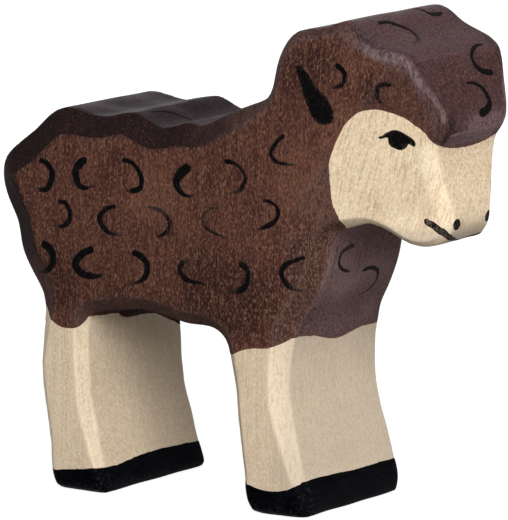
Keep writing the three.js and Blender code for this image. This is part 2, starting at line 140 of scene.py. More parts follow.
def signed_distance(places, line):
    """Distance in mm from flat places to a closed line, positive outside it."""
    nearest = np.full(len(places), np.inf)
    inside = np.zeros(len(places), bool)
    for start, end in zip(line, np.roll(line, -1, axis=0)):
        way = end - start
        share = np.clip((places - start) @ way / max(way @ way, 1e-12), 0, 1)
        gap = places - start - share[:, None] * way
        nearest = np.minimum(nearest, np.einsum("ij,ij->i", gap, gap))
        crosses = (start[1] > places[:, 1]) != (end[1] > places[:, 1])
        if way[1]:
            at = start[0] + (places[:, 1] - start[1]) / way[1] * way[0]
            inside ^= crosses & (places[:, 0] < at)
    return np.sqrt(nearest) * np.where(inside, -1, 1)


def waves(places, number, lengths, height, seed):
    """A smooth random height over places, the same in each run."""
    source = np.random.default_rng(seed)
    total = np.zeros(len(places))
    for _ in range(number):
        way = source.normal(size=places.shape[1])
        way *= 2 * math.pi / source.uniform(*lengths) / np.linalg.norm(way)
        total += height * np.sin(places @ way + source.uniform(0, 2 * math.pi))
    return total


# The net over the wood.

def voxel_net(node):
    """A CAD node's surface as an even closed net of small quads: points in mm, and quads."""
    copy = bpy.data.objects.new("net_source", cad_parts[node].data.copy())
    bpy.context.scene.collection.objects.link(copy)
    remesh = copy.modifiers.new("net", "REMESH")
    remesh.mode = "VOXEL"
    remesh.voxel_size = NET * MM
    mesh = bpy.data.meshes.new_from_object(
        copy.evaluated_get(bpy.context.evaluated_depsgraph_get()))
    points = np.empty(len(mesh.vertices) * 3, np.float32)
    mesh.vertices.foreach_get("co", points)
    corners = np.empty(len(mesh.loops), np.int32)
    mesh.loops.foreach_get("vertex_index", corners)
    source = copy.data
    bpy.data.objects.remove(copy)
    bpy.data.meshes.remove(source)
    bpy.data.meshes.remove(mesh)
    return points.reshape(-1, 3).astype(float) / MM, corners.reshape(-1, 4)


def gathered(indices, values, count):
    """Sums of vectors by index."""
    return np.stack([np.bincount(indices, column, count) for column in values.T], axis=1)


def quad_normals(points, quads):
    a, b, c, d = (points[quads[:, k]] for k in range(4))
    normals = np.cross(c - a, d - b)
    return normals / np.maximum(np.linalg.norm(normals, axis=1), 1e-12)[:, None]


def net_edges(quads, count):
    """Each edge of the net once, and the two quads beside it."""
    starts = quads.T.ravel()
    ends = np.roll(quads, -1, axis=1).T.ravel()
    faces = np.tile(np.arange(len(quads)), 4)
    keys = np.minimum(starts, ends).astype(np.int64) * count + np.maximum(starts, ends)
    order = np.argsort(keys, kind="stable")
    same = np.nonzero(keys[order][:-1] == keys[order][1:])[0]
    edges = np.stack([keys[order][same] // count, keys[order][same] % count], axis=1)
    return edges, np.stack([faces[order][same], faces[order][same + 1]], axis=1)


def fair(points, quads, pairs):
    """Takes the facets out of the surface and keeps its edges."""
    normals = quad_normals(points, quads)
    for _ in range(FAIRING_PASSES):
        a, b = normals[pairs[:, 0]], normals[pairs[:, 1]]
        turn = 1 - np.einsum("ij,ij->i", a, b)
        weight = np.exp(-turn / FAIRING_TOLERANCE)[:, None]
        normals = (normals + gathered(pairs[:, 0], b * weight, len(quads))
                   + gathered(pairs[:, 1], a * weight, len(quads)))
        normals /= np.linalg.norm(normals, axis=1)[:, None]
    uses = np.bincount(quads.ravel(), minlength=len(points))[:, None]
    for _ in range(FAIRING_PASSES):
        middles = points[quads].mean(axis=1)
        moves = np.zeros_like(points)
        for k in range(4):
            gap = np.einsum("ij,ij->i", middles - points[quads[:, k]], normals)
            moves += gathered(quads[:, k], normals * gap[:, None], len(points))
        points = points + moves / uses
    return points


def neighbour_means(values, edges):
    """The mean over each point's neighbours."""
    count = len(values)
    total = (gathered(edges[:, 0], values[edges[:, 1]], count)
             + gathered(edges[:, 1], values[edges[:, 0]], count))
    number = np.bincount(edges.ravel(), minlength=count)
    return total / np.maximum(number, 1)[:, None]


def point_normals(points, triangles):
    a, b, c = (points[triangles[:, k]] for k in range(3))
    faces = np.cross(b - a, c - a)
    total = sum(gathered(triangles[:, k], faces, len(points)) for k in range(3))
    return total / np.maximum(np.linalg.norm(total, axis=1), 1e-12)[:, None]


def halves(quads):
    """Two triangles for each quad."""
    return np.concatenate([quads[:, [0, 1, 2]], quads[:, [0, 2, 3]]])


def wood_surface():
    points, quads = voxel_net("carved_body")
    edges, pairs = net_edges(quads, len(points))
    points = fair(points, quads, pairs)
    for _ in range(SANDING_PASSES):
        points = points + SANDING_SHARE * (neighbour_means(points, edges) - points)
    triangles = halves(quads)
    normals = point_normals(points, triangles)
    hand = waves(points, HAND_WAVES, HAND_WAVE_LENGTH, HAND_WAVE_HEIGHT, seed=5)
    low, high = (np.array(corner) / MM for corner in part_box("carved_body"))
    points = np.clip(points + normals * hand[:, None], low, high)
    normals = point_normals(points, triangles)
    ridge = np.einsum("ij,ij->i", points - neighbour_means(points, edges), normals)
    ridge = np.clip(ridge / RIDGE_HEIGHT, 0, 1)[:, None]
    for _ in range(RIDGE_SPREAD):
        ridge = (ridge + neighbour_means(ridge, edges)) / 2
    pared = (np.abs(normals[:, 1]) < FLAT_SIDE).astype(float)[:, None]
    lean = np.abs(normals[:, 1])[:, None]
    for _ in range(BRINK_SPREAD):
        pared = (pared + neighbour_means(pared, edges)) / 2
        lean = (lean + neighbour_means(lean, edges)) / 2
    return points, triangles, normals, ridge[:, 0], pared[:, 0], lean[:, 0]


wood_points, wood_triangles, wood_normals, wood_ridge, wood_brink, wood_lean = wood_surface()
wood_tree = BVHTree.FromPolygons(wood_points.tolist(), wood_triangles.tolist())


def on_wood(place, towards=None):
    """The wood's surface nearest to a place, or straight ahead of it, and its smooth normal."""
    if towards is None:
        spot, _, face, _ = wood_tree.find_nearest(Vector(place))
    else:
        spot, _, face, _ = wood_tree.ray_cast(Vector(place), Vector(towards))
    spot = np.array(spot)
    corners = wood_triangles[face]
    a, b, c = wood_points[corners]
    areas = np.array([
        np.linalg.norm(np.cross(b - spot, c - spot)),
        np.linalg.norm(np.cross(c - spot, a - spot)),
        np.linalg.norm(np.cross(a - spot, b - spot))])
    normal = areas @ wood_normals[corners]
    return spot, normal / np.linalg.norm(normal)


# Pieces.

def add_piece(name, points, faces, material, nodes, facts):
    """A mesh piece on the lamb's one body, in place of CAD nodes, with values at its points."""
    mesh = bpy.data.meshes.new(name)
    mesh.from_pydata((points * MM).tolist(), [], [list(map(int, face)) for face in faces])
    mesh.validate()
    mesh.shade_smooth()
    mesh.set_sharp_from_angle(angle=math.radians(SHARP_ANGLE))
    for title, values in facts.items():
        attribute = mesh.attributes.new(title, "FLOAT", "POINT")
        attribute.data.foreach_set("value", np.asarray(values, np.float32))
    mesh.materials.append(material)
    piece = bpy.data.objects.new(name, mesh)
    bpy.context.scene.collection.objects.link(piece)
    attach(piece, "root")
    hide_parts(*nodes)


def add_coat(name, field, thickness, material, node, facts):
    """A thin closed coat on the wood wherever a field, in mm from its border, is positive."""
    field = np.where(np.abs(field) < LEAST_CUT, LEAST_CUT, field)
    inside = field[wood_triangles] > 0
    number = inside.sum(axis=1)
    places = [wood_points]
    normals = [wood_normals]
    facts = {"border": np.clip(field, 0, BORDER_SEEN), **facts}
    cuts = {}

    def cut(a, b):
        """The point where the border crosses an edge."""
        key = (a, b) if a < b else (b, a)
        if key not in cuts:
            cuts[key] = len(wood_points) + len(cuts)
        return cuts[key]

    faces = wood_triangles[number == 3].tolist()
    for triangle, kept in zip(wood_triangles[number == 2], inside[number == 2]):
        k = int(np.argmin(kept))
        out, first, second = (int(triangle[(k + i) % 3]) for i in range(3))
        after, before = cut(out, first), cut(second, out)
        faces += [[first, second, before], [first, before, after]]
    for triangle, kept in zip(wood_triangles[number == 1], inside[number == 1]):
        k = int(np.argmax(kept))
        only, first, second = (int(triangle[(k + i) % 3]) for i in range(3))
        faces.append([only, cut(only, first), cut(second, only)])
    ends = np.array(list(cuts), int)
    share = (field[ends[:, 0]] / (field[ends[:, 0]] - field[ends[:, 1]]))[:, None]
    places.append(between(wood_points[ends[:, 0]], wood_points[ends[:, 1]], share))
    blended = between(wood_normals[ends[:, 0]], wood_normals[ends[:, 1]], share)
    normals.append(blended / np.linalg.norm(blended, axis=1)[:, None])
    used, faces = np.unique(np.array(faces), return_inverse=True)
    faces = faces.reshape(-1, 3)
    points, normals = np.concatenate(places)[used], np.concatenate(normals)[used]
    for title, values in facts.items():
        cut_values = between(values[ends[:, 0]], values[ends[:, 1]], share[:, 0])
        facts[title] = np.concatenate([values, cut_values])[used]
    facts["border"][used >= len(wood_points)] = 0
    height = between(COAT_EDGE, thickness, eased(facts["border"], 0, COAT_FEATHER))
    count = len(points)
    sides = np.concatenate([faces[:, [0, 1]], faces[:, [1, 2]], faces[:, [2, 0]]])
    keys = sides[:, 0] * count + sides[:, 1]
    rim = sides[~np.isin(keys, sides[:, 1] * count + sides[:, 0])]
    walls = np.stack([rim[:, 1], rim[:, 0], rim[:, 0] + count, rim[:, 1] + count], axis=1)
    shell = np.concatenate([
        points + normals * (COAT_GAP + height)[:, None], points + normals * COAT_GAP])
    shell[:, 2] = np.maximum(shell[:, 2], 0)
    all_faces = faces.tolist() + (faces[:, ::-1] + count).tolist() + halves(walls).tolist()
    facts = {title: np.tile(values, 2) for title, values in facts.items()}
    add_piece(name, shell, all_faces, material, [node], facts)


def add_stroke(name, path, widths, lift, material, node, ink=(1, 1), cast=None):
    """One brush stroke along a path on the wood: round where the brush was put down, domed
    across, and closed underneath. Widths and ink are spread evenly along the path."""
    base = spline(path, STROKE_STEP)
    count = len(base)
    run = np.linspace(0, 1, count)
    length = STROKE_STEP * (count - 1)
    width = np.interp(run, np.linspace(0, 1, len(widths)), widths)
    for distance, tip in ((run * length, widths[0]), ((1 - run) * length, widths[-1])):
        rounded = np.clip(distance / (tip / 2), 0, 1)
        width = width * np.sqrt(np.maximum(1 - (1 - rounded) ** 2, 0))
    spots = [on_wood(place, cast) for place in base]
    centre = np.array([spot for spot, _ in spots])
    normal = np.array([way for _, way in spots])
    along = np.gradient(centre, axis=0)
    side = np.cross(normal, along)
    side /= np.linalg.norm(side, axis=1)[:, None]
    wobble = random.normal(0, 1, (2, count + len(WOBBLE_WINDOW) - 1))
    wobble = np.stack([np.convolve(row, WOBBLE_WINDOW, "valid") for row in wobble])
    points, across_of, run_of = [], [], []

    def put(place, height, across, share):
        spot, way = on_wood(place)
        points.append(spot + way * (lift + MARK_GAP + height))
        across_of.append(across)
        run_of.append(share)
        return len(points) - 1

    first = put(centre[0], MARK_EDGE, 1, 0)
    rows = []
    for i in range(1, count - 1):
        row = []
        unsteady = BRUSH_WOBBLE * min(width[i], WOBBLE_WIDTH)
        for k in range(STROKE_WIDE + 1):
            across = 2 * k / STROKE_WIDE - 1
            edge = width[i] / 2 + unsteady * wobble[int(across > 0), i]
            height = MARK_EDGE + MARK_DOME * math.sqrt(max(1 - across ** 2, 0))
            row.append(put(centre[i] + side[i] * edge * across, height, abs(across), run[i]))
        rows.append(row)
    last = put(centre[-1], MARK_EDGE, 1, 1)
    under = []
    for row in rows:
        spot, way = on_wood(points[row[STROKE_WIDE // 2]])
        points.append(spot + way * (lift + MARK_GAP))
        across_of.append(0)
        run_of.append(run_of[row[0]])
        under.append(len(points) - 1)
    faces = []
    for row, after, low, low_after in zip(rows, rows[1:], under, under[1:]):
        for k in range(STROKE_WIDE):
            faces.append([row[k], after[k], after[k + 1], row[k + 1]])
        faces.append([low, low_after, after[0], row[0]])
        faces.append([row[-1], after[-1], low_after, low])
    for k in range(STROKE_WIDE):
        faces.append([first, rows[0][k], rows[0][k + 1]])
        faces.append([last, rows[-1][k + 1], rows[-1][k]])
    faces += [[first, under[0], rows[0][0]], [first, rows[0][-1], under[0]]]
    faces += [[last, rows[-1][0], under[-1]], [last, under[-1], rows[-1][-1]]]
    points = np.array(points)
    dry = DRY_TAIL * eased(run_of, DRY_FROM, 1) * (widths[-1] < widths[0])
    ink = np.interp(run_of, np.linspace(0, 1, len(ink)), ink) - dry
    add_piece(name, points, turned_out(points, faces), material, [node],
              {"across": across_of, "ink": ink})


def turned_out(points, faces):
    """The faces of a closed shell, wound so that they face outwards."""
    volume = 0.0
    for face in faces:
        a = points[face[0]]
        for k in range(1, len(face) - 1):
            volume += a @ np.cross(points[face[k]], points[face[k + 1]])
    return faces if volume > 0 else [face[::-1] for face in faces]


def add_patch(name, outline, start, towards, lift, material, node):
    """A painted patch with a drawn outline, in X and Z, cast on to the wood along a direction."""
    line = spline(outline, PATCH_STEP / 2, closed=True)
    low, high = line.min(axis=0), line.max(axis=0)
    grid = np.stack(np.meshgrid(
        np.arange(low[0], high[0], PATCH_STEP), np.arange(low[1], high[1], PATCH_STEP)), -1)
    grid = grid.reshape(-1, 2)
    grid = grid[signed_distance(grid, line) < -PATCH_STEP / 2]
    flat = np.concatenate([line, grid])
    corners, _, faces, _, _, _ = delaunay_2d_cdt(
        [Vector(place) for place in flat], [], [list(range(len(line)))], 1, 1e-7)
    corners = np.array([tuple(corner) for corner in corners])
    depth = np.maximum(-signed_distance(corners, line), 0)
    rim = depth < 1e-4
    towards = np.array(towards, float)
    top, bottom = [], []
    for (u, v), inwards in zip(corners, depth):
        place = np.array(start, float)
        place[[0 if abs(towards[1]) > 0.5 else 1, 2]] = u, v
        spot, way = on_wood(place, towards)
        height = MARK_EDGE + MARK_DOME * math.sqrt(min(inwards / COAT_FEATHER, 1))
        top.append(spot + way * (lift + MARK_GAP + height))
        bottom.append(spot + way * (lift + MARK_GAP))
    number = {}
    points = list(top)
    for i, edge in enumerate(rim):
        if not edge:
            number[i] = len(points)
            points.append(bottom[i])
    below = [[number.get(i, i) for i in face[::-1]] for face in faces]
    points = np.array(points)
    across = 1 - np.concatenate([depth, depth[~rim]]) / depth.max()
    shell = turned_out(points, [list(face) for face in faces] + below)
    add_piece(name, points, shell, material, [node],
              {"across": across, "ink": np.ones(len(points))})


# Looks.

class Look:
    """A material's nodes, joined by short calls. Lengths in its patterns are millimetres."""

    def __init__(self, name, tints):
        self.tints = {tint: (*colour, 1) for tint, colour in tints.items()}
        self.material = bpy.data.materials.new(name)
        self.material.use_nodes = True
        self.nodes = self.material.node_tree.nodes
        self.shader = self.nodes["Principled BSDF"]
        place = self.node("ShaderNodeTexCoord")
        self.normal = place.outputs["Normal"]
        self.place = self.vector("SCALE", place.outputs["Object"], scale=1 / MM)

    def link(self, socket, value):
        if isinstance(value, bpy.types.NodeSocket):
            self.material.node_tree.links.new(value, socket)
        elif value is not None:
            socket.default_value = value

    def node(self, kind, inputs=(), **settings):
        node = self.nodes.new(kind)
        for title, value in settings.items():
            setattr(node, title, value)
        for title, value in dict(inputs).items():
            self.link(node.inputs[title], value)
        return node

    def vector(self, operation, a, b=None, scale=None):
        inputs = {0: a, 1: b}
        node = self.node("ShaderNodeVectorMath", inputs, operation=operation)
        if scale is not None:
            self.link(node.inputs["Scale"], scale)
        return node.outputs[0]

    def parts(self, vector):
        """X, Y and Z of a vector."""
        return self.node("ShaderNodeSeparateXYZ", {0: vector}).outputs

    def math(self, operation, a, b=None):
        return self.node("ShaderNodeMath", {0: a, 1: b}, operation=operation).outputs[0]

    def times(self, product, *factors):
        for factor in factors:
            product = self.math("MULTIPLY", product, factor)
        return product

    def plus(self, a, b):
        return self.math("ADD", a, b)

    def noise(self, pitch, place=None, detail=2.0, rough=0.5, seed=0.0):
        """Noise whose features are about pitch = (x, y, z) mm long."""
        stretched = self.vector("DIVIDE", place or self.place, pitch)
        moved = self.vector("ADD", stretched, (seed, -seed, 2 * seed))
        return self.node("ShaderNodeTexNoise", {
            "Vector": moved, "Scale": 1.0, "Detail": detail, "Roughness": rough}).outputs["Fac"]

    def ramp(self, value, low, high, start=0.0, end=1.0):
        """Start up to low and end from high, eased in between."""
        return self.node("ShaderNodeMapRange", {
            "Value": value, "From Min": low, "From Max": high, "To Min": start, "To Max": end,
        }, interpolation_type="SMOOTHSTEP").outputs[0]

    def mix(self, share, a, b):
        """One colour up to share 0 and the other from share 1. A tint is given by its name."""
        node = self.node("ShaderNodeMix", data_type="RGBA")
        self.link(node.inputs[0], share)
        self.link(node.inputs[6], self.tints.get(a, a))
        self.link(node.inputs[7], self.tints.get(b, b))
        return node.outputs[2]

    def layers(self, colour, shares):
        """A colour with tints laid over it in turn, each by its own share."""
        for tint, share in shares.items():
            colour = self.mix(share, colour, tint)
        return colour

    def fact(self, title):
        return self.node("ShaderNodeAttribute", attribute_name=title).outputs["Fac"]

    def across_board(self):
        """How much the surface faces out of the board: 1 on a flank and 0 on the sawn wall."""
        return self.math("ABSOLUTE", self.parts(self.normal)["Y"])

    def bump(self, height, distance, strength=1.0, before=None):
        inputs = {"Height": height, "Distance": distance * MM, "Strength": strength}
        node = self.node("ShaderNodeBump", inputs)
        self.link(node.inputs["Normal"], before)
        return node.outputs[0]

    def finish(self, colour, roughness, bump, specular):
        self.link(self.shader.inputs["Base Color"], colour)
        self.link(self.shader.inputs["Roughness"], roughness)
        self.link(self.shader.inputs["Normal"], bump)
        self.shader.inputs["Specular IOR Level"].default_value = specular
        return self.material


SWAY_LENGTH = (22.0, 22.0, 60.0)
SWAY_REACH = (7.0, 7.0, 0.0)
PITH = (12.0, 74.0, 0.0)
RING_WIDTH = 1.7
RING_STRETCH = (1.0, 1.0, 0.03)


def swayed(look):
    """Places that follow the wavering grain of the board, which runs up and down."""
    sway = look.node("ShaderNodeTexNoise", {
        "Vector": look.vector("DIVIDE", look.place, SWAY_LENGTH), "Scale": 1.0, "Detail": 1.0})
    centred = look.vector("SUBTRACT", sway.outputs["Color"], (0.5, 0.5, 0.5))
    return look.vector("ADD", look.place, look.vector("MULTIPLY", centred, SWAY_REACH))


def growth(look, place):
    """Bands of the year rings, round a pith well outside the board."""
    flat = look.vector("MULTIPLY", look.vector("SUBTRACT", place, PITH), RING_STRETCH)
    length = look.node("ShaderNodeVectorMath", {0: flat}, operation="LENGTH").outputs["Value"]
    return look.node("ShaderNodeTexNoise", {
        "W": look.math("DIVIDE", length, RING_WIDTH), "Scale": 1.0, "Detail": 2.0,
        "Roughness": 0.6}, noise_dimensions="1D").outputs["Fac"]


MAPLE = {
    "early_wood": (0.81, 0.67, 0.455), "late_wood": (0.75, 0.59, 0.39), "rosy": (0.70, 0.51, 0.36),
    "pared": (0.96, 0.815, 0.56), "fibre": (0.56, 0.41, 0.27), "row": (0.66, 0.45, 0.29),
    "blush": (0.76, 0.52, 0.34), "fleck": (0.44, 0.25, 0.17), "shin_painted_light": (0.98, 0.83, 0.6),
    "dash": (0.44, 0.34, 0.2), "dark_mottle": (0.52, 0.41, 0.27),
    "light_mottle": (0.98, 0.87, 0.66), "leg_painted_shade": (0.585, 0.465, 0.335), "worn": (0.88, 0.74, 0.53),
    "end_grain_and_shade": (0.60, 0.45, 0.30), "jaw_painted_shade": (0.42, 0.34, 0.27), "hind_wall_painted_shadow": (0.42, 0.345, 0.26),
}
# The head's grain leans forwards below this height, by this share of the way down.
LEAN_TOP, LEAN_SHARE = 50.0, 0.27


def maple():
    look = Look("maple", MAPLE)
    spot = look.parts(look.place)
    facing = look.parts(look.normal)
    below = look.math("SUBTRACT", LEAN_TOP, spot["Z"])
    lean = look.times(below, look.ramp(spot["X"], 14.0, 24.0, end=LEAN_SHARE))
    leaning = look.node("ShaderNodeCombineXYZ", {"X": lean}).outputs[0]
    place = look.vector("ADD", swayed(look), leaning)
    broad = look.noise((9.0, 9.0, 38.0), place, seed=3.1)
    fibre = look.noise((0.28, 0.28, 5.0), place, detail=3.0, rough=0.6, seed=7.7)
    fleck = look.noise((0.14, 0.27, 0.5), place, detail=1.0, seed=1.3)
    rows = look.noise((0.3, 0.55, 34.0), place, detail=1.0, seed=4.9)
    mottle = look.noise((0.26, 0.5, 0.4), detail=2.0, rough=0.7, seed=9.2)
    dash = look.noise((0.3, 0.58, 2.0), place, detail=2.0, rough=0.6, seed=6.4)
    blush = look.noise((0.6, 0.6, 4.0), place, detail=2.0, seed=2.9)

    board = look.across_board()
    pared = look.times(look.ramp(board, 0.4, 0.5), look.ramp(board, 0.9, 0.86))
    flecks = look.times(look.ramp(fleck, 0.44, 0.62), look.ramp(rows, 0.54, 0.66))
    low_down = look.ramp(spot["Z"], 40.0, 30.0)
    front_wall = look.times(look.ramp(facing["X"], 0.3, 0.6), look.ramp(spot["X"], 0.0, 5.0))
    front_wall = look.times(front_wall, look.ramp(facing["X"], 0.96, 0.75, start=0.35))
    hind_wall = look.times(look.ramp(facing["X"], 0.6, 0.85), look.ramp(spot["X"], 0.0, -5.0))
    coarse = look.ramp(spot["Z"], 34.0, 44.0, start=1.0, end=0.6)
    jaw_painted_shade = look.times(look.ramp(spot["X"], 10.0, 14.0), look.ramp(spot["Z"], 42.0, 39.5))
    upright = look.math("ABSOLUTE", facing["Z"])
    colour = look.mix(look.ramp(growth(look, place), 0.3, 0.7), "early_wood", "late_wood")
    colour = look.layers(colour, {
        "rosy": look.ramp(broad, 0.42, 0.7, end=0.45),
        "pared": look.times(pared, 0.6),
        "fibre": look.ramp(fibre, 0.35, 0.72, end=0.4),
        "row": look.ramp(rows, 0.5, 0.64, end=0.4),
        "blush": look.ramp(blush, 0.52, 0.7, end=0.35),
        "fleck": look.times(flecks, 0.7),
        # painted light: the lower front walls and edges that face the lamp are made lighter
        "shin_painted_light": look.times(front_wall, low_down, 0.7),
        "dash": look.times(coarse, look.ramp(dash, 0.54, 0.66, end=0.7)),
        "dark_mottle": look.times(coarse, look.ramp(mottle, 0.5, 0.66, end=0.65)),
        "light_mottle": look.times(coarse, look.ramp(mottle, 0.5, 0.34, end=0.7)),
        # painted shade: the wood is darker lower down, where less light falls
        "leg_painted_shade": look.times(low_down, 0.5),
        "worn": look.ramp(look.fact("ridge"), 0.1, 0.9, end=0.5),
        # end grain darker, and painted shade on faces turned up and down, most under the jaw
        "end_grain_and_shade": look.ramp(upright, 0.25, 0.85, end=0.5),
        # painted shade under the jaw
        "jaw_painted_shade": look.times(jaw_painted_shade, 0.5),
        # painted shadow on the hind wall, darker towards its far side, where the lamp is blocked
        "hind_wall_painted_shadow": look.times(hind_wall, look.ramp(spot["Y"], -9.0, 9.0, start=0.15, end=0.4)),
    })
    dull = look.plus(fibre, look.ramp(broad, 0.3, 0.7, end=0.4))
    bump = look.bump(look.math("SUBTRACT", fibre, flecks), 0.035, 0.7)
    bump = look.bump(mottle, 0.02, 0.5, before=bump)
    return look.finish(colour, look.ramp(dull, 0.3, 1.0, 0.5, 0.66), bump, 0.35)


# The stain on the flanks, the head's sides, the pared edges and the sawn wall, each from dark to
# light, with what lies over it, among it painted highlights, sheen and shade. The back is darker
# than the front.
STAIN = {
    "flank_light": (0.104, 0.041, 0.0275), "flank_dark": (0.066, 0.0262, 0.0205),
    "flank_pale": (0.132, 0.056, 0.0365), "flank_deep": (0.039, 0.0155, 0.0122),
    "cheek_dark": (0.066, 0.029, 0.023), "cheek_light": (0.11, 0.05, 0.037),
    "cheek_pale": (0.125, 0.064, 0.047), "cheek_deep": (0.034, 0.019, 0.0165),
    "back_edge_dark": (0.0068, 0.0042, 0.0054), "back_edge_light": (0.0125, 0.0072, 0.0082),
    "edge_dark": (0.043, 0.0215, 0.019), "edge_light": (0.09, 0.05, 0.044),
    "edge_chest": (0.071, 0.035, 0.0245), "edge_low_painted_light": (0.11, 0.06, 0.05),
    "edge_pale": (0.12, 0.072, 0.06),
    "back_dark": (0.0075, 0.005, 0.0085), "back_light": (0.0145, 0.0095, 0.0145),
    "wall_dark": (0.046, 0.0225, 0.0235), "wall_light": (0.078, 0.039, 0.039),
    "chest": (0.128, 0.084, 0.089), "painted_sky_sheen": (0.085, 0.057, 0.068),
    "chest_painted_light": (0.21, 0.14, 0.145), "wall_pale": (0.13, 0.08, 0.082),
    "bevel": (0.14, 0.092, 0.1), "darker_spots": (0.014, 0.008, 0.009), "glint": (0.158, 0.115, 0.124),
    "groove_shade": (0.024, 0.018, 0.024), "chest_crease_highlight": (0.2, 0.133, 0.125),
    "fringe_painted_light": (0.29, 0.185, 0.2), "fringe_edge_highlight": (0.28, 0.205, 0.22),
    "dark_thread": (0.026, 0.012, 0.0105), "light_thread": (0.17, 0.078, 0.046),
    "fibre": (0.024, 0.011, 0.0098), "dark_speck": (0.02, 0.009, 0.008),
    "light_speck": (0.21, 0.108, 0.075), "rubbed_and_sheen": (0.16, 0.105, 0.11),
    "halo": (0.13, 0.052, 0.036),
}


def stain():
    look = Look("fleece_stain", STAIN)
    place = swayed(look)
    spot = look.parts(look.place)
    facing = look.parts(look.normal)
    board = look.across_board()
    broad = look.noise((5.0, 5.0, 10.0), place, detail=3.0, rough=0.6, seed=5.5)
    streak = look.noise((0.9, 0.9, 7.0), place, detail=3.0, rough=0.6, seed=2.4)
    fibre = look.noise((0.22, 0.22, 2.2), place, detail=2.0, rough=0.6, seed=7.7)
    thread = look.noise((0.35, 0.35, 9.0), place, detail=2.0, rough=0.55, seed=4.2)
    speck = look.noise((0.24, 0.24, 0.5), place, detail=3.0, rough=0.7, seed=8.3)

    tone = look.plus(look.fact("tone"), look.times(broad, 0.7))
    pale, deep = look.ramp(tone, 0.35, 1.1), look.ramp(tone, 0.35, -0.4)
    fore = look.ramp(look.plus(spot["X"], look.times(broad, 12.0)), 0.0, 20.0)
    low_down = look.ramp(spot["Z"], 35.0, 29.0)
    chest = look.ramp(spot["Z"], 47.0, 40.0)
    worn = look.times(pale, fore, 0.6)
    across = look.ramp(streak, 0.3, 0.7)
    flank = look.mix(look.ramp(streak, 0.36, 0.66), "flank_light", "flank_dark")
    flank = look.layers(flank, {"flank_pale": pale, "flank_deep": deep})
    cheek = look.mix(look.ramp(streak, 0.35, 0.65), "cheek_dark", "cheek_light")
    cheek = look.layers(cheek, {"cheek_pale": pale, "cheek_deep": deep})
    back_edge = look.mix(across, "back_edge_dark", "back_edge_light")
    # the low edges are painted lighter: painted light where they face down, away from the lamp
    edge = look.layers(look.mix(across, "edge_dark", "edge_light"), {
        "edge_chest": look.times(chest, fore, 0.8), "edge_low_painted_light": look.times(low_down, 0.4)})
    edge = look.mix(look.math("MAXIMUM", fore, low_down), back_edge, edge)
    edge = look.layers(edge, {"edge_pale": worn})
    back = look.mix(across, "back_dark", "back_light")
    wall = look.mix(across, "wall_dark", "wall_light")
    wall = look.mix(fore, back, look.layers(wall, {"chest": look.times(chest, 0.95)}))
    wall = look.layers(wall, {
        # painted sheen: a cool light colour on the up-facing tops, standing in for the sky's reflection
        "painted_sky_sheen": look.times(look.ramp(facing["Z"], 0.4, 0.95, end=0.5), fore),
        # painted light on the chest where the head's shadow falls less
        "chest_painted_light": look.fact("chest_painted_light"), "wall_pale": worn})
    lean = look.plus(look.fact("lean"), look.times(streak, 0.03))
    side = look.mix(look.ramp(lean, 0.945, 1.005), cheek, flank)
    brink = look.plus(look.fact("brink"), look.times(streak, 0.34))
    side = look.mix(look.ramp(brink, 0.2, 0.62, end=0.75), side, edge)
    colour = look.mix(look.ramp(board, 0.3, 0.5), wall, edge)
    colour = look.mix(look.ramp(board, 0.885, 0.91), colour, side)

    light = look.times(fore, look.ramp(spot["Z"], 44.0, 36.0, 0.45, 1.0))
    light = look.math("MAXIMUM", look.ramp(board, 0.88, 0.98, 0.15, 0.75), light)
    colour = look.layers(colour, {
        # the bevel is painted lighter where it faces down: partly worn, partly painted sheen and light
        "bevel": look.times(look.fact("bevel"), look.ramp(facing["Z"], -0.1, -0.4)),
        # darker at the fringe's ends and at the chest's foot
        "darker_spots": look.fact("darker_spots"),
        # painted highlight along the crown's corner
        "glint": look.times(look.ramp(look.fact("glint"), 0.35, 0.9),
                            look.ramp(thread, 0.58, 0.42, 0.45, 1.0)),
        # painted shade in the crease where the crown's top meets its chamfer
        "groove_shade": look.fact("groove_shade"),
        # painted highlight along the chest's crease
        "chest_crease_highlight": look.fact("chest_crease_highlight"),
        # painted light on the fringe's front, which faces down
        "fringe_painted_light": look.times(look.fact("fringe_painted_light"), look.ramp(speck, 0.62, 0.46, 0.5, 1.0)),
        # painted highlight along the fringe's front edge
        "fringe_edge_highlight": look.ramp(look.fact("fringe_edge_highlight"), 0.35, 0.85, end=0.9),
        "dark_thread": look.ramp(thread, 0.54, 0.64, end=0.3),
        "light_thread": look.times(look.ramp(thread, 0.42, 0.33), look.ramp(board, 0.9, 0.98, end=0.5)),
        "fibre": look.ramp(fibre, 0.48, 0.7, end=0.45),
        "dark_speck": look.ramp(speck, 0.5, 0.64, end=0.62),
        "light_speck": look.times(light, look.ramp(speck, 0.5, 0.34)),
        # lighter ridges: partly worn edges, partly a painted sheen on them
        "rubbed_and_sheen": look.times(look.fact("ridge"), look.ramp(fibre, 0.62, 0.4), fore, 0.35),
        "halo": look.ramp(look.fact("border"), 0.1, 0.6, start=0.35, end=0.0),
    })
    roughness = look.ramp(look.plus(fibre, broad), 0.7, 1.25, 0.52, 0.68)
    bump = look.bump(look.plus(fibre, speck), 0.04, 0.7)
    return look.finish(colour, roughness, bump, 0.017)


HOOF = {"full": (0.0006, 0.0007, 0.0011), "dragged": (0.0026, 0.003, 0.0048),
        "rubbed_and_sheen": (0.045, 0.047, 0.052)}


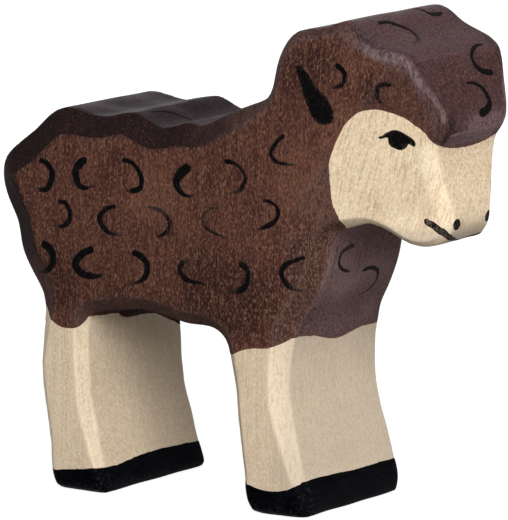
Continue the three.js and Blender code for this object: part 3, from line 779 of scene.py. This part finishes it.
def paint():
    look = Look("hoof_paint", HOOF)
    drag = look.noise((2.2, 2.2, 0.35), detail=3.0, seed=6.1)
    grain = look.noise((0.3, 0.3, 0.45), detail=3.0, rough=0.65, seed=2.2)
    # grey-blue on the hoof ridges: partly worn paint, partly a painted reflection
    rubbed_and_sheen = look.times(look.fact("ridge"), look.ramp(grain, 0.45, 0.65), 0.4)
    colour = look.layers(look.mix(look.ramp(drag, 0.35, 0.7), "full", "dragged"), {"rubbed_and_sheen": rubbed_and_sheen})
    bump = look.bump(look.plus(drag, grain), 0.012, 0.4)
    return look.finish(colour, look.ramp(drag, 0.3, 0.7, 0.4, 0.55), bump, 0.006)


BLACK = {"full": (0.0018, 0.0016, 0.002), "thin": (0.0045, 0.004, 0.0042)}


def brush_black(name, dry, under):
    """Matt black laid on with a brush, thinner where there was less ink."""
    look = Look(name, {**BLACK, "under": under})
    grain = look.noise((0.16, 0.16, 1.2), detail=2.0, rough=0.6, seed=3.3)
    speck = look.noise((0.22, 0.22, 0.22), detail=2.0, seed=1.9)
    across = look.fact("across")
    thin = look.math("SUBTRACT", 1.0, look.fact("ink"))
    thin = look.plus(thin, look.ramp(across, 0.95, 0.5, end=dry))
    thin = look.plus(thin, look.ramp(across, 0.6, 1.0, end=0.22))
    broken = look.plus(look.times(grain, 1.1), look.times(speck, 0.7))
    shows = look.ramp(look.plus(thin, broken), 1.0, 1.5)
    colour = look.layers(look.mix(look.ramp(speck, 0.35, 0.7), "full", "thin"), {"under": shows})
    bump = look.bump(look.plus(grain, speck), 0.03, 0.6)
    return look.finish(colour, look.ramp(speck, 0.3, 0.7, 0.5, 0.68), bump, 0.015)


maple_look = maple()
stain_look = stain()
hoof_look = paint()
curl_look = brush_black("curl_black", 0.0, (0.06, 0.034, 0.03))
face_look = brush_black("face_black", 0.0, (0.10, 0.08, 0.06))
mouth_look = brush_black("mouth_black", 0.3, (0.12, 0.095, 0.075))
nostril_look = brush_black("nostril_black", 0.2, (0.16, 0.115, 0.075))

# The wood.
wood_high = np.array(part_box("carved_body")[1]) / MM
add_piece("carved_wood", wood_points, wood_triangles.tolist(), maple_look,
          ["carved_body"], {"ridge": wood_ridge})

# The stain's borders. Each is drawn as the right flank shows it, from a CAD mark close to it.
X, Y, Z = wood_points.T
eye = middle("eye_mark_right")
hind_hoof, front_hoof = middle("hind_hoof_paint"), middle("front_hoof_paint")

FACE_LINE = [
    (14.0, -0.95), (4.76, -0.93), (4.45, 0.0), (3.65, 1.2), (2.75, 2.1), (1.4, 3.1), (-0.6, 3.9),
    (-2.3, 4.15), (-4.2, 3.7), (-5.65, 2.7), (-6.85, 1.4), (-8.05, -0.8), (-9.05, -3.3),
    (-9.5, -6.3), (-9.5, -9.5), (-9.1, -11.2), (-8.85, -12.5), (-9.2, -13.9), (-8.0, -17.0),
    (3.0, -26.0), (14.0, -26.0),
]
# The border's height over the eye on the head's front, by the distance from the board's middle,
# and how far ahead of the eye it takes over.
FRINGE_FOOT = [(0.0, -1.8), (1.6, -1.76), (4.25, -1.5), (5.31, -1.34), (6.49, -1.05), (7.35, -0.82),
               (7.91, -0.58), (8.34, -0.28), (8.82, 0.1), (9.0, 0.45), (9.24, 0.92), (9.55, 1.47),
               (9.85, 2.01)]
FRONT_STARTS = (2.6, 3.4)
FACE_STEP = 0.4
face_line = spline(FACE_LINE, FACE_STEP, closed=True) + eye[[0, 2]]
bare_face = signed_distance(np.stack([X, Z], axis=1), face_line)
foot = np.interp(np.abs(Y), *np.array(FRINGE_FOOT).T) + eye[2]
bare_face += eased(X - eye[0], *FRONT_STARTS) * (Z - foot - bare_face)

# Heights of the stain's lower edge above the middle of the hoof band: along each leg's side,
# and how far it moves up or down across the leg's front wall.
HIND_EDGE = [(-7, 23.6), (-5.8, 23.3), (-4.6, 22.2), (-2.9, 21.2), (-1.3, 20.9), (0.2, 21.1),
             (1.2, 22.1), (1.8, 22.6), (5, 22.6)]
HIND_WAVE = [(-13, 0), (-11.3, 0.05), (-7.8, -0.2), (-4.8, -0.35), (-3.4, -0.95), (-1.4, -1.3),
             (3.6, -1.35), (6.5, -2.0), (9.4, -3.1), (11.3, -3.9), (13, -4.1)]
FRONT_EDGE = [(-9, 19.0), (-6.7, 19.3), (-5.9, 19.65), (-4.4, 20.3), (-2.8, 20.6), (-1.2, 20.7),
              (0.4, 21.2), (1.5, 21.8), (2.4, 22.2), (6, 22.2)]
FRONT_WAVE = [(-13, 0), (-10, 0), (-8.2, -0.1), (-5.5, -0.4), (-3.3, -0.9), (-0.9, -1.4),
              (0.7, -1.5), (2.9, -1.3), (4.9, -1.0), (6.6, -0.8), (10.2, -0.8), (13, -0.6)]
WAVE_STARTS = (-2.0, 1.5)
EDGE_STEP = 0.2
UNSTEADY = {"number": 10, "lengths": (1.2, 4.0), "height": 0.011, "seed": 11}


def leg_edge(hoof, edge, wave):
    """Height over the stain's lower edge on a leg, at each point of the wood."""
    along = spline(edge, EDGE_STEP)
    over = spline(wave, EDGE_STEP)
    line = hoof[2] + np.interp(X - hoof[0], along[:, 0], along[:, 1])
    front = eased(X - hoof[0], *WAVE_STARTS)
    return Z - line - front * np.interp(Y, over[:, 0], over[:, 1])


mid_legs = (hind_hoof[0] + front_hoof[0]) / 2
leg_field = np.where(X < mid_legs, leg_edge(hind_hoof, HIND_EDGE, HIND_WAVE),
                     leg_edge(front_hoof, FRONT_EDGE, FRONT_WAVE))
unsteady = waves(wood_points, **UNSTEADY)
fleece = np.minimum(bare_face, leg_field) + unsteady
# Where the stain soaked in less or more: X and Z from the eye, reach and strength.
STAIN_TONES = [
    (-46.3, -4.8, 4, 0.3), (-39.5, -9.9, 4.5, 0.75), (-36.8, -7.4, 3.5, 0.1), (-26.2, -11.4, 3, 0.2),
    (-13.2, -6, 5, 0.95), (-17.3, -11, 4, 0.25), (-5.6, 9.5, 2.2, 0.9), (-8, 2, 3, 0.7),
    (-10.3, -9, 3, 0.5), (-10, -21, 3.4, 0.8), (-14, -15.5, 3.6, -0.6), (-14.6, 8, 4, -0.7),
    (-9.6, 10, 2.6, -0.7), (-2.6, 6.8, 2.4, -0.7), (-40, -14.5, 3, -0.2), (-55, -24, 5, -0.85),
    (-26.3, -23.5, 6, -0.65), (-58, -8, 5, -0.1), (-21, -16, 4, 0.25), (-44, -22, 6, -0.2),
    (-25, -5, 4, -0.35), (-20, -24, 5, -0.4), (-33, -10, 4, 0.25), (-57, -2, 5, -0.5),
    (-31, -18, 4, -0.3), (-12, -20, 3, -0.4), (-43.5, -6.5, 3, -0.6), (-36.7, -12.7, 3, 0.3),
    (-29.5, -25, 4.5, -0.6), (-42, -26.5, 4, -0.4),
]

# The bevel under the fringe is painted lighter, partly as wear and partly as painted sheen and light:
# where it lies from the eye, and how it faces.
BEVEL_FRONT = (3.6, 4.4)
BEVEL_TOP = (0.42, 0.22)
BEVEL_FOOT = (-4.0, -3.5)
BEVEL_LEAN = (0.45, 0.3)
bevel = (eased(X - eye[0], *BEVEL_FRONT) * eased(Z - eye[2], *BEVEL_TOP)
         * eased(Z - eye[2], *BEVEL_FOOT) * eased(np.abs(wood_normals[:, 1]), *BEVEL_LEAN))

# Lines on the wood, as offsets from the eye along X, the distance from the board's middle, Z,
# then reach and strength: a painted highlight along the crown's sanded corner and painted shade in
# the crease above it, a painted highlight on the fringe's front edge, darker spots at the fringe's
# ends and the chest's foot, and a painted highlight along the chest's crease.
CROWN_CORNER = [(-6.6, 12.4, 12.6, 1.5, 0.6), (-4.3, 12.2, 12.6, 1.4, 0.75),
                (-1.8, 12.5, 11.7, 1.2, 0.95), (-0.1, 12.4, 11.4, 1.2, 1.0),
                (1.5, 11.9, 11.0, 1.05, 1.0), (2.6, 11.6, 10.3, 0.8, 0.9),
                (3.9, 10.6, 7.8, 0.72, 1.0), (4.6, 9.7, 6.7, 0.68, 1.0),
                (5.3, 8.8, 5.4, 0.65, 1.0), (5.9, 8.0, 3.9, 0.6, 1.0),
                (6.0, 8.15, 2.9, 0.55, 0.9), (6.15, 7.95, 2.3, 0.45, 0.5)]
CROWN_GROOVE = [(-5.5, 11.8, 15.2, 0.75, 0.75), (-3.8, 12.0, 13.6, 0.7, 1.0),
                (-1.9, 12.0, 12.7, 0.6, 0.9), (0.2, 11.9, 12.2, 0.5, 0.8),
                (1.8, 10.3, 11.6, 0.5, 0.8), (3.3, 10.3, 10.2, 0.5, 0.7),
                (4.0, 9.7, 8.8, 0.45, 0.4), (4.6, 9.0, 7.2, 0.4, 0.25)]
FRINGE_FRONT = [(5.8, 5.8, 0.35, 0.35, 0.95), (5.95, 3.0, 0.42, 0.38, 1.0),
                (5.95, 0.0, 0.42, 0.38, 1.0)]
FRINGE_ENDS = [(6.13, 5.9, 3.3, 0.8, 0.7), (6.15, 6.4, 2.0, 1.1, 1.2), (6.1, 6.7, 1.0, 1.15, 1.3),
               (5.7, 6.9, 0.3, 1.0, 1.3), (5.2, 6.9, -0.5, 0.8, 1.2)]
CHEST_FOOT = [(-14.5, 8.6, -25.0, 0.9, 0.3), (-15.2, 9.3, -26.4, 1.0, 0.35),
              (-15.8, 10.0, -27.9, 1.0, 0.25)]
CHEST_LINE = [(-10.5, 9.6, -13.5, 0.5, 0.35), (-11.0, 9.1, -15.4, 0.5, 0.3),
              (-11.3, 8.9, -17.3, 0.5, 0.45), (-11.7, 9.0, -19.2, 0.6, 0.6),
              (-12.6, 8.9, -21.5, 0.7, 0.9), (-13.7, 8.4, -23.6, 0.6, 0.7)]

# Painted light on the fringe's front and the chest, with Y itself in place of the distance from the
# middle.
FRINGE_PAINTED_LIGHT = [(5.9, -3.0, 1.0, 1.0, 0.2), (5.95, -0.6, 0.9, 1.5, 0.75), (5.95, 2.0, 0.8, 1.8, 0.8),
               (5.95, 6.5, 0.8, 1.9, 0.85), (5.9, 8.5, 0.8, 1.9, 0.7)]
CHEST_PAINTED_LIGHT = [
    [(-11.7, -7.5, -19.0, 2.0, 0.45), (-12.6, -5.4, -21.9, 2.4, 1.0), (-12.7, -2.2, -22.0, 2.3, 1.0),
     (-12.6, 0.6, -20.8, 2.4, 0.9), (-12.0, 3.0, -19.9, 2.6, 0.95), (-11.9, 5.8, -20.2, 3.0, 1.0),
     (-12.3, 8.5, -21.0, 3.0, 0.9)],
    [(-11.3, 1.5, -17.1, 2.0, 0.6), (-11.3, 4.5, -17.0, 2.0, 0.6)],
    [(-15.2, 7.2, -26.4, 2.0, 0.7), (-15.2, 9.0, -26.0, 2.0, 0.7)],
]

NEAR_STEP = 0.3


def near(paths, mirrored=True):
    """How close each point of the wood is to the nearest of some lines on it."""
    places = np.stack([X - eye[0], np.abs(Y) if mirrored else Y, Z - eye[2]], axis=1)
    close = np.zeros(len(places))
    for path in paths:
        for *place, reach, strength in spline(path, NEAR_STEP):
            gap = ((places - place) ** 2).sum(axis=1)
            close = np.maximum(close, strength * np.exp(-gap / reach ** 2))
    return close


tone = sum(strength * np.exp(-((X - eye[0] - x) ** 2 + (Z - eye[2] - z) ** 2) / reach ** 2)
           for x, z, reach, strength in STAIN_TONES)
add_coat("fleece_coat", fleece, STAIN_COAT, stain_look, "fleece_stain", {
    "ridge": wood_ridge, "brink": wood_brink, "lean": wood_lean, "bevel": bevel, "tone": tone,
    "darker_spots": near([FRINGE_ENDS, CHEST_FOOT]), "groove_shade": near([CROWN_GROOVE]),
    "glint": near([CROWN_CORNER]), "fringe_edge_highlight": near([FRINGE_FRONT]),
    "chest_crease_highlight": near([CHEST_LINE]), "fringe_painted_light": near([FRINGE_PAINTED_LIGHT], mirrored=False),
    "chest_painted_light": near(CHEST_PAINTED_LIGHT, mirrored=False)})

# The hooves: height of the band's top edge over the middle of the band.
HIND_TOP = [(-9, 0.45), (-3.5, 0.72), (-0.9, 1.0), (2.4, 1.45), (3.8, 1.6), (7, 1.85)]
HIND_TOP_WAVE = [(-13, 0.0), (-8.6, -0.1), (-4.2, 0.25), (2.1, 0.45), (5.9, 0.3), (13, 0.0)]
FRONT_TOP = [(-8, 1.9), (-3.9, 1.55), (-2.9, 1.25), (-1.6, 1.05), (0, 1.05), (1.6, 1.3),
             (2.8, 1.6), (3.9, 2.2), (4.3, 2.55), (7, 2.6)]
FRONT_TOP_WAVE = [(-13, 0), (-9.6, 0.1), (-5.2, 0.0), (-0.2, -0.2), (4.9, -0.25), (13, -0.3)]
for side_of_middle, name, hoof, top, wave in (
        (X < mid_legs, "hind_hoof", hind_hoof, HIND_TOP, HIND_TOP_WAVE),
        (X >= mid_legs, "front_hoof", front_hoof, FRONT_TOP, FRONT_TOP_WAVE)):
    under_edge = -leg_edge(hoof, top, wave) + unsteady
    band = np.where(side_of_middle, np.minimum(under_edge, Z - SOLE_GAP), -1.0)
    add_coat(f"{name}_coat", band, HOOF_COAT, hoof_look, f"{name}_paint",
             {"ridge": wood_ridge})

# Fleece curls on the flanks, as offsets along X and Z from the middle of their CAD nodes, with
# the stroke's width from where the brush was put down to where it was lifted, and its ink.
FLANK_CURLS = {
    1: ([(-1.0, 2.0), (0.3, 1.7), (1.2, 0.5), (1.0, -0.9), (0.2, -2.0), (-1.4, -2.1)],
        (0.72, 0.85, 0.95, 1.0, 0.8, 0.45), (1, 1)),
    2: ([(0.4, 2.1), (-0.8, 1.3), (-1.5, 0.0), (-1.1, -1.4), (-0.1, -2.0), (1.7, -1.6)],
        (0.9, 1.25, 1.2, 0.95, 0.6, 0.12), (1, 1)),
    3: ([(-1.9, 2.1), (-0.5, 2.0), (0.6, 1.2), (1.4, -0.1), (1.1, -1.5), (-0.1, -2.0), (-1.2, -2.0)],
        (0.62, 0.58, 0.72, 0.82, 0.78, 0.4), (1, 1)),
    4: ([(0.9, 2.0), (-0.4, 1.4), (-1.4, 0.2), (-1.4, -0.8), (-0.4, -1.8), (0.7, -2.0), (1.5, -1.7)],
        (1.15, 1.4, 1.3, 0.9, 0.6, 0.22), (1, 1)),
    5: ([(-1.9, 2.0), (-0.5, 1.9), (0.7, 1.3), (1.5, 0.2), (1.3, -0.9), (0.5, -1.9), (-0.5, -2.1)],
        (0.66, 0.6, 0.42, 0.6, 0.66, 0.55), (1, 0.8, 1)),
    6: ([(0.1, 2.1), (-1.1, 1.2), (-2.1, -0.4), (-1.5, -1.5), (0.0, -1.8), (2.2, -1.8)],
        (0.55, 0.6, 0.62, 0.5, 0.2), (1, 0.8)),
    7: ([(-1.0, 1.7), (0.2, 1.6), (1.0, 0.5), (0.9, -0.8), (-0.1, -1.7), (-1.8, -1.7)],
        (0.6, 0.66, 0.7, 0.8, 0.66, 0.2), (0.95, 0.9)),
    8: ([(0.8, 2.0), (-0.7, 1.6), (-1.9, 0.4), (-1.6, -0.8), (-0.2, -1.8), (2.1, -1.9)],
        (0.62, 0.66, 0.85, 0.8, 0.5, 0.12), (1, 0.8)),
    9: ([(-2.1, 2.0), (-0.4, 1.8), (0.9, 1.1), (1.6, 0.0), (0.9, -1.3), (-0.6, -2.1)],
        (0.3, 0.5, 0.7, 0.75, 0.6, 0.4), (0.6, 0.9)),
    10: ([(0.5, 1.9), (-1.1, 1.7), (-2.1, 0.5), (-1.9, -0.8), (-0.3, -1.6), (2.2, -2.1)],
         (0.3, 0.34, 0.48, 0.46, 0.34, 0.14), (0.55, 0.85)),
    11: ([(-0.7, 1.9), (0.3, 1.9), (1.3, 1.4), (1.8, 0.6), (1.5, -0.4), (0.5, -1.3), (-1.7, -2.2)],
         (0.45, 0.5, 0.6, 0.75, 0.2), (0.9, 1)),
    12: ([(-0.8, 2.0), (0.3, 1.6), (1.2, 0.5), (1.0, -1.0), (-0.1, -1.9), (-2.5, -2.5)],
         (1.1, 1.2, 1.0, 0.9, 0.55, 0.15), (1, 0.95)),
    13: ([(1.0, 2.0), (-0.5, 1.4), (-1.9, 0.2), (-1.9, -0.9), (-0.7, -1.7), (1.3, -1.8), (2.8, -1.4)],
         (0.95, 1.1, 1.15, 1.15, 0.9, 0.2), (1, 1)),
    14: ([(-1.1, 2.1), (0.3, 1.8), (1.4, 0.7), (1.4, -0.7), (0.3, -1.8), (-1.4, -2.4)],
         (0.95, 1.0, 1.05, 0.9, 0.5, 0.12), (1, 0.9)),
    15: ([(-0.3, 1.3), (-1.6, 0.9), (-2.1, -0.2), (-1.3, -1.2), (0.2, -1.6), (2.5, -1.7)],
         (0.5, 0.8, 0.85, 0.7, 0.5, 0.15), (0.6, 1, 0.9)),
    16: ([(-0.4, 1.8), (0.5, 1.5), (1.1, 0.8), (1.1, -0.4), (0.3, -1.7), (-1.8, -2.3)],
         (0.95, 0.95, 0.85, 0.95, 1.0, 0.35), (0.9, 1)),
    17: ([(1.4, 2.3), (0.2, 1.9), (-1.1, 1.3), (-1.9, 0.2), (-1.6, -0.9), (-0.5, -1.9), (0.7, -2.4)],
         (0.45, 0.65, 0.85, 0.85, 0.3), (0.95, 0.9)),
}
TEMPLE_CURLS = {
    1: ([(-0.5, 1.5), (0.3, 1.3), (1.0, 0.5), (1.0, -0.4), (0.3, -1.2), (-1.3, -1.5)],
        (0.72, 0.75, 0.68, 0.62, 0.4), (1, 0.8)),
    2: ([(1.0, 1.3), (0.2, 1.5), (-0.6, 1.2), (-1.0, 0.2), (-0.8, -0.9), (0.3, -1.5)],
        (0.5, 0.7, 0.7, 0.66, 0.55, 0.3), (0.85, 0.7)),
}

# Curls on the sawn wall, as offsets along X, Y and Z.
WALL_CURLS = {
    "crown_curl_1": ([(-2.0, -2.1, 0.9), (-1.9, -0.1, 0.8), (-1.2, 1.4, 0.3), (-0.6, 2.5, -0.2),
                      (0.2, 3.0, -0.7), (1.6, 2.2, -1.3), (2.3, 1.2, -1.6), (2.6, -0.5, -1.7)],
                     (0.72, 0.9, 0.78, 0.7, 0.62), (0.95, 0.75)),
    "crown_curl_2": ([(-0.6, -0.9, 0.4), (0.0, -0.5, 0.2), (0.7, -0.3, 0.0), (1.5, 0.0, -0.4),
                      (1.8, 1.3, -0.6), (1.7, 3.0, -0.5)],
                     (0.45, 0.7, 0.85, 0.8, 0.5), (0.85, 0.9)),
    "forehead_curl_1": ([(-1.3, 3.8, 2.0), (-1.3, 2.1, 2.0), (-0.7, 0.0, 1.4), (-0.3, -0.7, 0.6),
                         (0.2, -0.4, -0.5), (0.5, 1.1, -1.3), (0.6, 3.3, -1.6)],
                        (0.42, 0.65, 0.8, 0.9, 0.98), (0.85, 1)),
    "forehead_curl_2": ([(-0.8, -2.0, 1.5), (-0.7, -0.2, 1.2), (-0.4, 1.3, 0.5), (0.0, 2.1, -0.6),
                         (0.4, 2.1, -1.7), (0.6, 0.9, -2.5), (0.7, -1.0, -2.8)],
                        (0.4, 0.6, 0.85, 1.25, 1.3), (0.9, 1)),
    "chest_curl_1": ([(0.1, 1.9, 1.5), (0.1, 0.2, 1.3), (0.0, -1.1, 0.8), (-0.3, -1.5, -0.2),
                      (-0.5, -1.1, -1.0), (-0.7, 0.2, -1.8), (-0.9, 2.2, -2.3)],
                     (0.72, 0.82, 0.58, 0.5, 0.36), (0.6, 0.95)),
    "chest_curl_2": ([(0.5, -3.2, 1.4), (0.6, -1.5, 1.6), (0.4, 0.5, 1.1), (0.0, 1.6, 0.2),
                      (-0.6, 1.7, -1.0), (-1.2, 0.6, -2.0), (-1.6, -1.2, -2.5)],
                     (0.45, 0.66, 0.58, 0.4, 0.2), (0.85, 0.7)),
    "back_curl_1": ([(-1.5, -2.8, 0.4), (-1.2, -1.1, 0.3), (-0.6, 0.5, 0.0), (0.4, 1.4, -0.5),
                     (2.1, 2.1, -1.1)],
                    (0.35, 0.6, 0.85, 0.75, 0.4), (0.9, 1)),
    "rump_curl_1": ([(0.0, 1.2, 2.0), (0.0, -0.6, 1.5), (-0.1, -1.5, 0.2), (0.1, -1.2, -1.2),
                     (0.3, 0.2, -2.0), (0.4, 1.5, -1.9)],
                    (0.55, 0.7, 0.7, 0.5, 0.2), (1, 0.9)),
    "rump_curl_2": ([(-0.4, -1.4, 1.9), (-0.5, 0.3, 1.6), (-0.3, 1.5, 0.4), (0.0, 1.3, -1.0),
                     (0.4, -0.1, -1.9), (0.5, -1.5, -2.1)],
                    (0.45, 0.6, 0.7, 0.55, 0.2), (1, 0.9)),
}

OUTSIDE = 2 * wood_high[1]
SIDES = {"right": -1, "left": 1}


def add_flank_curl(kind, side, number, curl):
    path, widths, ink = curl
    node = f"{kind}_curl_{side}_{number}"
    at = middle(node)
    places = [(at[0] + u, SIDES[side] * OUTSIDE, at[2] + v) for u, v in path]
    widths = np.array(widths) * BRUSH_FULL
    add_stroke(f"{kind}_stroke_{side}_{number}", places, widths, STAIN_COAT, curl_look, node,
               ink, cast=(0, -SIDES[side], 0))


for side in SIDES:
    for kind, curls in (("flank", FLANK_CURLS), ("temple", TEMPLE_CURLS)):
        for number, curl in curls.items():
            add_flank_curl(kind, side, number, curl)
for node, (path, widths, ink) in WALL_CURLS.items():
    places = np.array(path) + middle(node)
    add_stroke(node.replace("curl", "stroke"), places, widths, STAIN_COAT, curl_look, node, ink)

# The ears and eyes, as drawn outlines, and the nostrils and the mouth.
EAR_LINE = [
    (-3.0, 4.0), (-2.9, 3.3), (-2.5, 2.2), (-2.1, 1.1), (-1.6, -0.3), (-1.0, -1.6), (-0.4, -2.7),
    (0.4, -3.4), (1.4, -3.65), (2.2, -3.5), (2.8, -3.1), (3.0, -2.4), (2.9, -1.5), (2.4, -0.7),
    (1.9, 0.0), (1.1, 0.75), (0.4, 1.4), (-0.4, 2.3), (-1.2, 3.2), (-2.0, 3.9), (-2.6, 4.15),
]
EYE_LINE = [
    (-2.3, 0.2), (-2.03, 0.4), (-1.72, 0.5), (-1.44, 0.73), (-1.13, 0.94), (-0.74, 1.12),
    (-0.4, 1.27), (0.04, 1.36), (0.48, 1.28), (1.0, 1.02), (1.42, 0.74), (1.85, 0.45),
    (2.18, 0.14), (2.4, -0.22), (2.46, -0.5), (2.33, -0.87), (2.1, -0.9), (1.86, -0.76),
    (1.61, -0.6), (1.42, -0.68), (1.23, -1.01), (0.93, -1.26), (0.5, -1.45), (0.11, -1.45),
    (-0.32, -1.27), (-0.75, -1.04), (-1.0, -0.76), (-1.08, -0.43), (-1.03, -0.05), (-1.08, 0.2),
    (-1.3, 0.24), (-1.61, 0.13), (-2.0, 0.03),
]
# A nostril's half width and height, how far each lies outwards and up from its CAD mark, and
# how it leans.
NOSTRIL = (0.88, 0.8)
NOSTRIL_SHIFT = {"right": (0.35, -0.3), "left": (0.95, -0.1)}
NOSTRIL_LEAN = 0.16
NOSTRIL_POINTS = 10
MOUTH_HALF = [
    (-1.33, -6.6, 1.14), (-0.68, -6.36, 0.68), (0.06, -6.1, 0.13), (0.76, -5.76, -0.44),
    (1.23, -5.04, -0.98), (1.0, -3.3, -1.75), (0.5, -1.6, -2.25), (0.1, -0.4, -2.6),
]
# The far half of the mouth lies back and down from the mirrored near half, from its middle on.
MOUTH_DROP = (0.1, 0.5, 1.0, 1.35, 1.1, 0.7, 0.3, 0.0)
MOUTH_DROP_WAY = (-0.4, 0, -1)
MOUTH_WIDTHS = (0.86, 0.92, 0.92, 0.84, 0.62, 0.5)

for side, sign in SIDES.items():
    across = (0, -sign, 0)
    for name, line, lift, look in (("ear", EAR_LINE, STAIN_COAT, curl_look),
                                   ("eye", EYE_LINE, 0.0, face_look)):
        node = f"{name}_mark_{side}"
        at = middle(node)
        outline = np.array(line) + at[[0, 2]]
        add_patch(f"{name}_patch_{side}", outline, (0, sign * OUTSIDE, 0), across, lift, look, node)
    node = f"nostril_mark_{side}"
    at = middle(node)
    angles = np.linspace(0, 2 * math.pi, NOSTRIL_POINTS, endpoint=False)
    up = NOSTRIL[1] * np.sin(angles)
    shift = NOSTRIL_SHIFT[side]
    out = NOSTRIL[0] * np.cos(angles) + shift[0] + NOSTRIL_LEAN * up
    outline = np.stack([at[1] + sign * out, at[2] + shift[1] + up], axis=1)
    add_patch(f"nostril_patch_{side}", outline, (wood_high[0] + OUTSIDE, 0, 0), (-1, 0, 0), 0.0,
              nostril_look, node)
mouth_right = np.array(MOUTH_HALF) + middle("mouth_mark")
mouth_left = mouth_right[::-1] * (1, -1, 1) + np.outer(MOUTH_DROP, MOUTH_DROP_WAY)
add_stroke("mouth_stroke", np.concatenate([mouth_right, mouth_left]),
           MOUTH_WIDTHS + MOUTH_WIDTHS[::-1], 0.0, mouth_look, "mouth_mark")

# The floor, one large soft lamp above the camera's right, a weaker one behind, and light all round.
FLOOR_SIZE = 6.0
FLOOR_LIFT = 0.9
WORLD_LIGHT = 0.37
LAMP_TURN, LAMP_RISE, LAMP_POWER = math.radians(45), math.radians(31), 3.0
FILL_TURN, FILL_RISE, FILL_POWER = math.radians(222), math.radians(18), 0.8
LAMP_DISTANCE, LAMP_SIZE = 0.52, 0.38
CAMERA_TURN, CAMERA_RISE = math.radians(33.3), math.radians(9.05)
CAMERA_DISTANCE = 0.9
CAMERA_LENS = 450.0
CAMERA_CLIP = (0.05, 20.0)
SENSOR = 36.0
TARGET_SHIFT, TARGET_HEIGHT = -0.45, 32.8
TARGET = Vector((middle("carved_body")[0] + TARGET_SHIFT, 0.0, TARGET_HEIGHT)) * MM
FLOOR_GREY = 0.25
FLOOR_ROUGHNESS = 0.9


def seen_rays(tree):
    """1 for rays of the camera, of reflections and through glass, and 0 for the rest."""
    path = tree.nodes.new("ShaderNodeLightPath")
    seen = path.outputs["Is Camera Ray"]
    for title in ("Is Glossy Ray", "Is Transmission Ray"):
        both = tree.nodes.new("ShaderNodeMath")
        both.operation = "MAXIMUM"
        tree.links.new(seen, both.inputs[0])
        tree.links.new(path.outputs[title], both.inputs[1])
        seen = both.outputs[0]
    return seen


def add_floor():
    mesh = bpy.data.meshes.new("floor")
    half = FLOOR_SIZE / 2
    mesh.from_pydata([(-half, -half, 0), (half, -half, 0), (half, half, 0), (-half, half, 0)],
                     [], [(0, 1, 2, 3)])
    floor = bpy.data.objects.new("floor", mesh)
    bpy.context.scene.collection.objects.link(floor)
    material = bpy.data.materials.new("pale_floor")
    material.use_nodes = True
    tree = material.node_tree
    shader = tree.nodes["Principled BSDF"]
    shader.inputs["Base Color"].default_value = (FLOOR_GREY, FLOOR_GREY, FLOOR_GREY, 1)
    shader.inputs["Roughness"].default_value = FLOOR_ROUGHNESS
    shader.inputs["Specular IOR Level"].default_value = 0.0
    shader.inputs["Emission Color"].default_value = (1, 1, 1, 1)
    lift = tree.nodes.new("ShaderNodeMath")
    lift.operation = "MULTIPLY"
    lift.inputs[1].default_value = FLOOR_LIFT
    tree.links.new(seen_rays(tree), lift.inputs[0])
    tree.links.new(lift.outputs[0], shader.inputs["Emission Strength"])
    mesh.materials.append(material)


def set_world():
    world = bpy.data.worlds.new("studio")
    bpy.context.scene.world = world
    world.use_nodes = True
    tree = world.node_tree
    background = tree.nodes["Background"]
    background.inputs["Color"].default_value = (1, 1, 1, 1)
    strength = tree.nodes.new("ShaderNodeMapRange")
    strength.inputs["To Min"].default_value = WORLD_LIGHT
    strength.inputs["To Max"].default_value = 1.0
    tree.links.new(seen_rays(tree), strength.inputs["Value"])
    tree.links.new(strength.outputs[0], background.inputs["Strength"])


def placed(item, turn, rise, distance):
    """Puts a lamp or camera on a sphere round the target, looking at it. Turn 0 is the right flank."""
    out = Vector((math.sin(turn) * math.cos(rise), -math.cos(turn) * math.cos(rise), math.sin(rise)))
    item.location = TARGET + out * distance
    item.rotation_euler = out.to_track_quat("Z", "Y").to_euler()
    bpy.context.scene.collection.objects.link(item)
    return item


add_floor()
set_world()
for name, turn, rise, power in (("soft_lamp", LAMP_TURN, LAMP_RISE, LAMP_POWER),
                                ("fill_lamp", FILL_TURN, FILL_RISE, FILL_POWER)):
    lamp = bpy.data.lights.new(name, "AREA")
    lamp.shape = "DISK"
    lamp.size = LAMP_SIZE
    lamp.energy = power
    placed(bpy.data.objects.new(name, lamp), turn, rise, LAMP_DISTANCE)
camera = bpy.data.cameras.new("camera")
camera.lens = CAMERA_LENS
camera.sensor_width = SENSOR
camera.clip_start, camera.clip_end = CAMERA_CLIP
bpy.context.scene.camera = placed(
    bpy.data.objects.new("camera", camera), CAMERA_TURN, CAMERA_RISE, CAMERA_DISTANCE)
bpy.context.scene.view_settings.view_transform = "Standard"
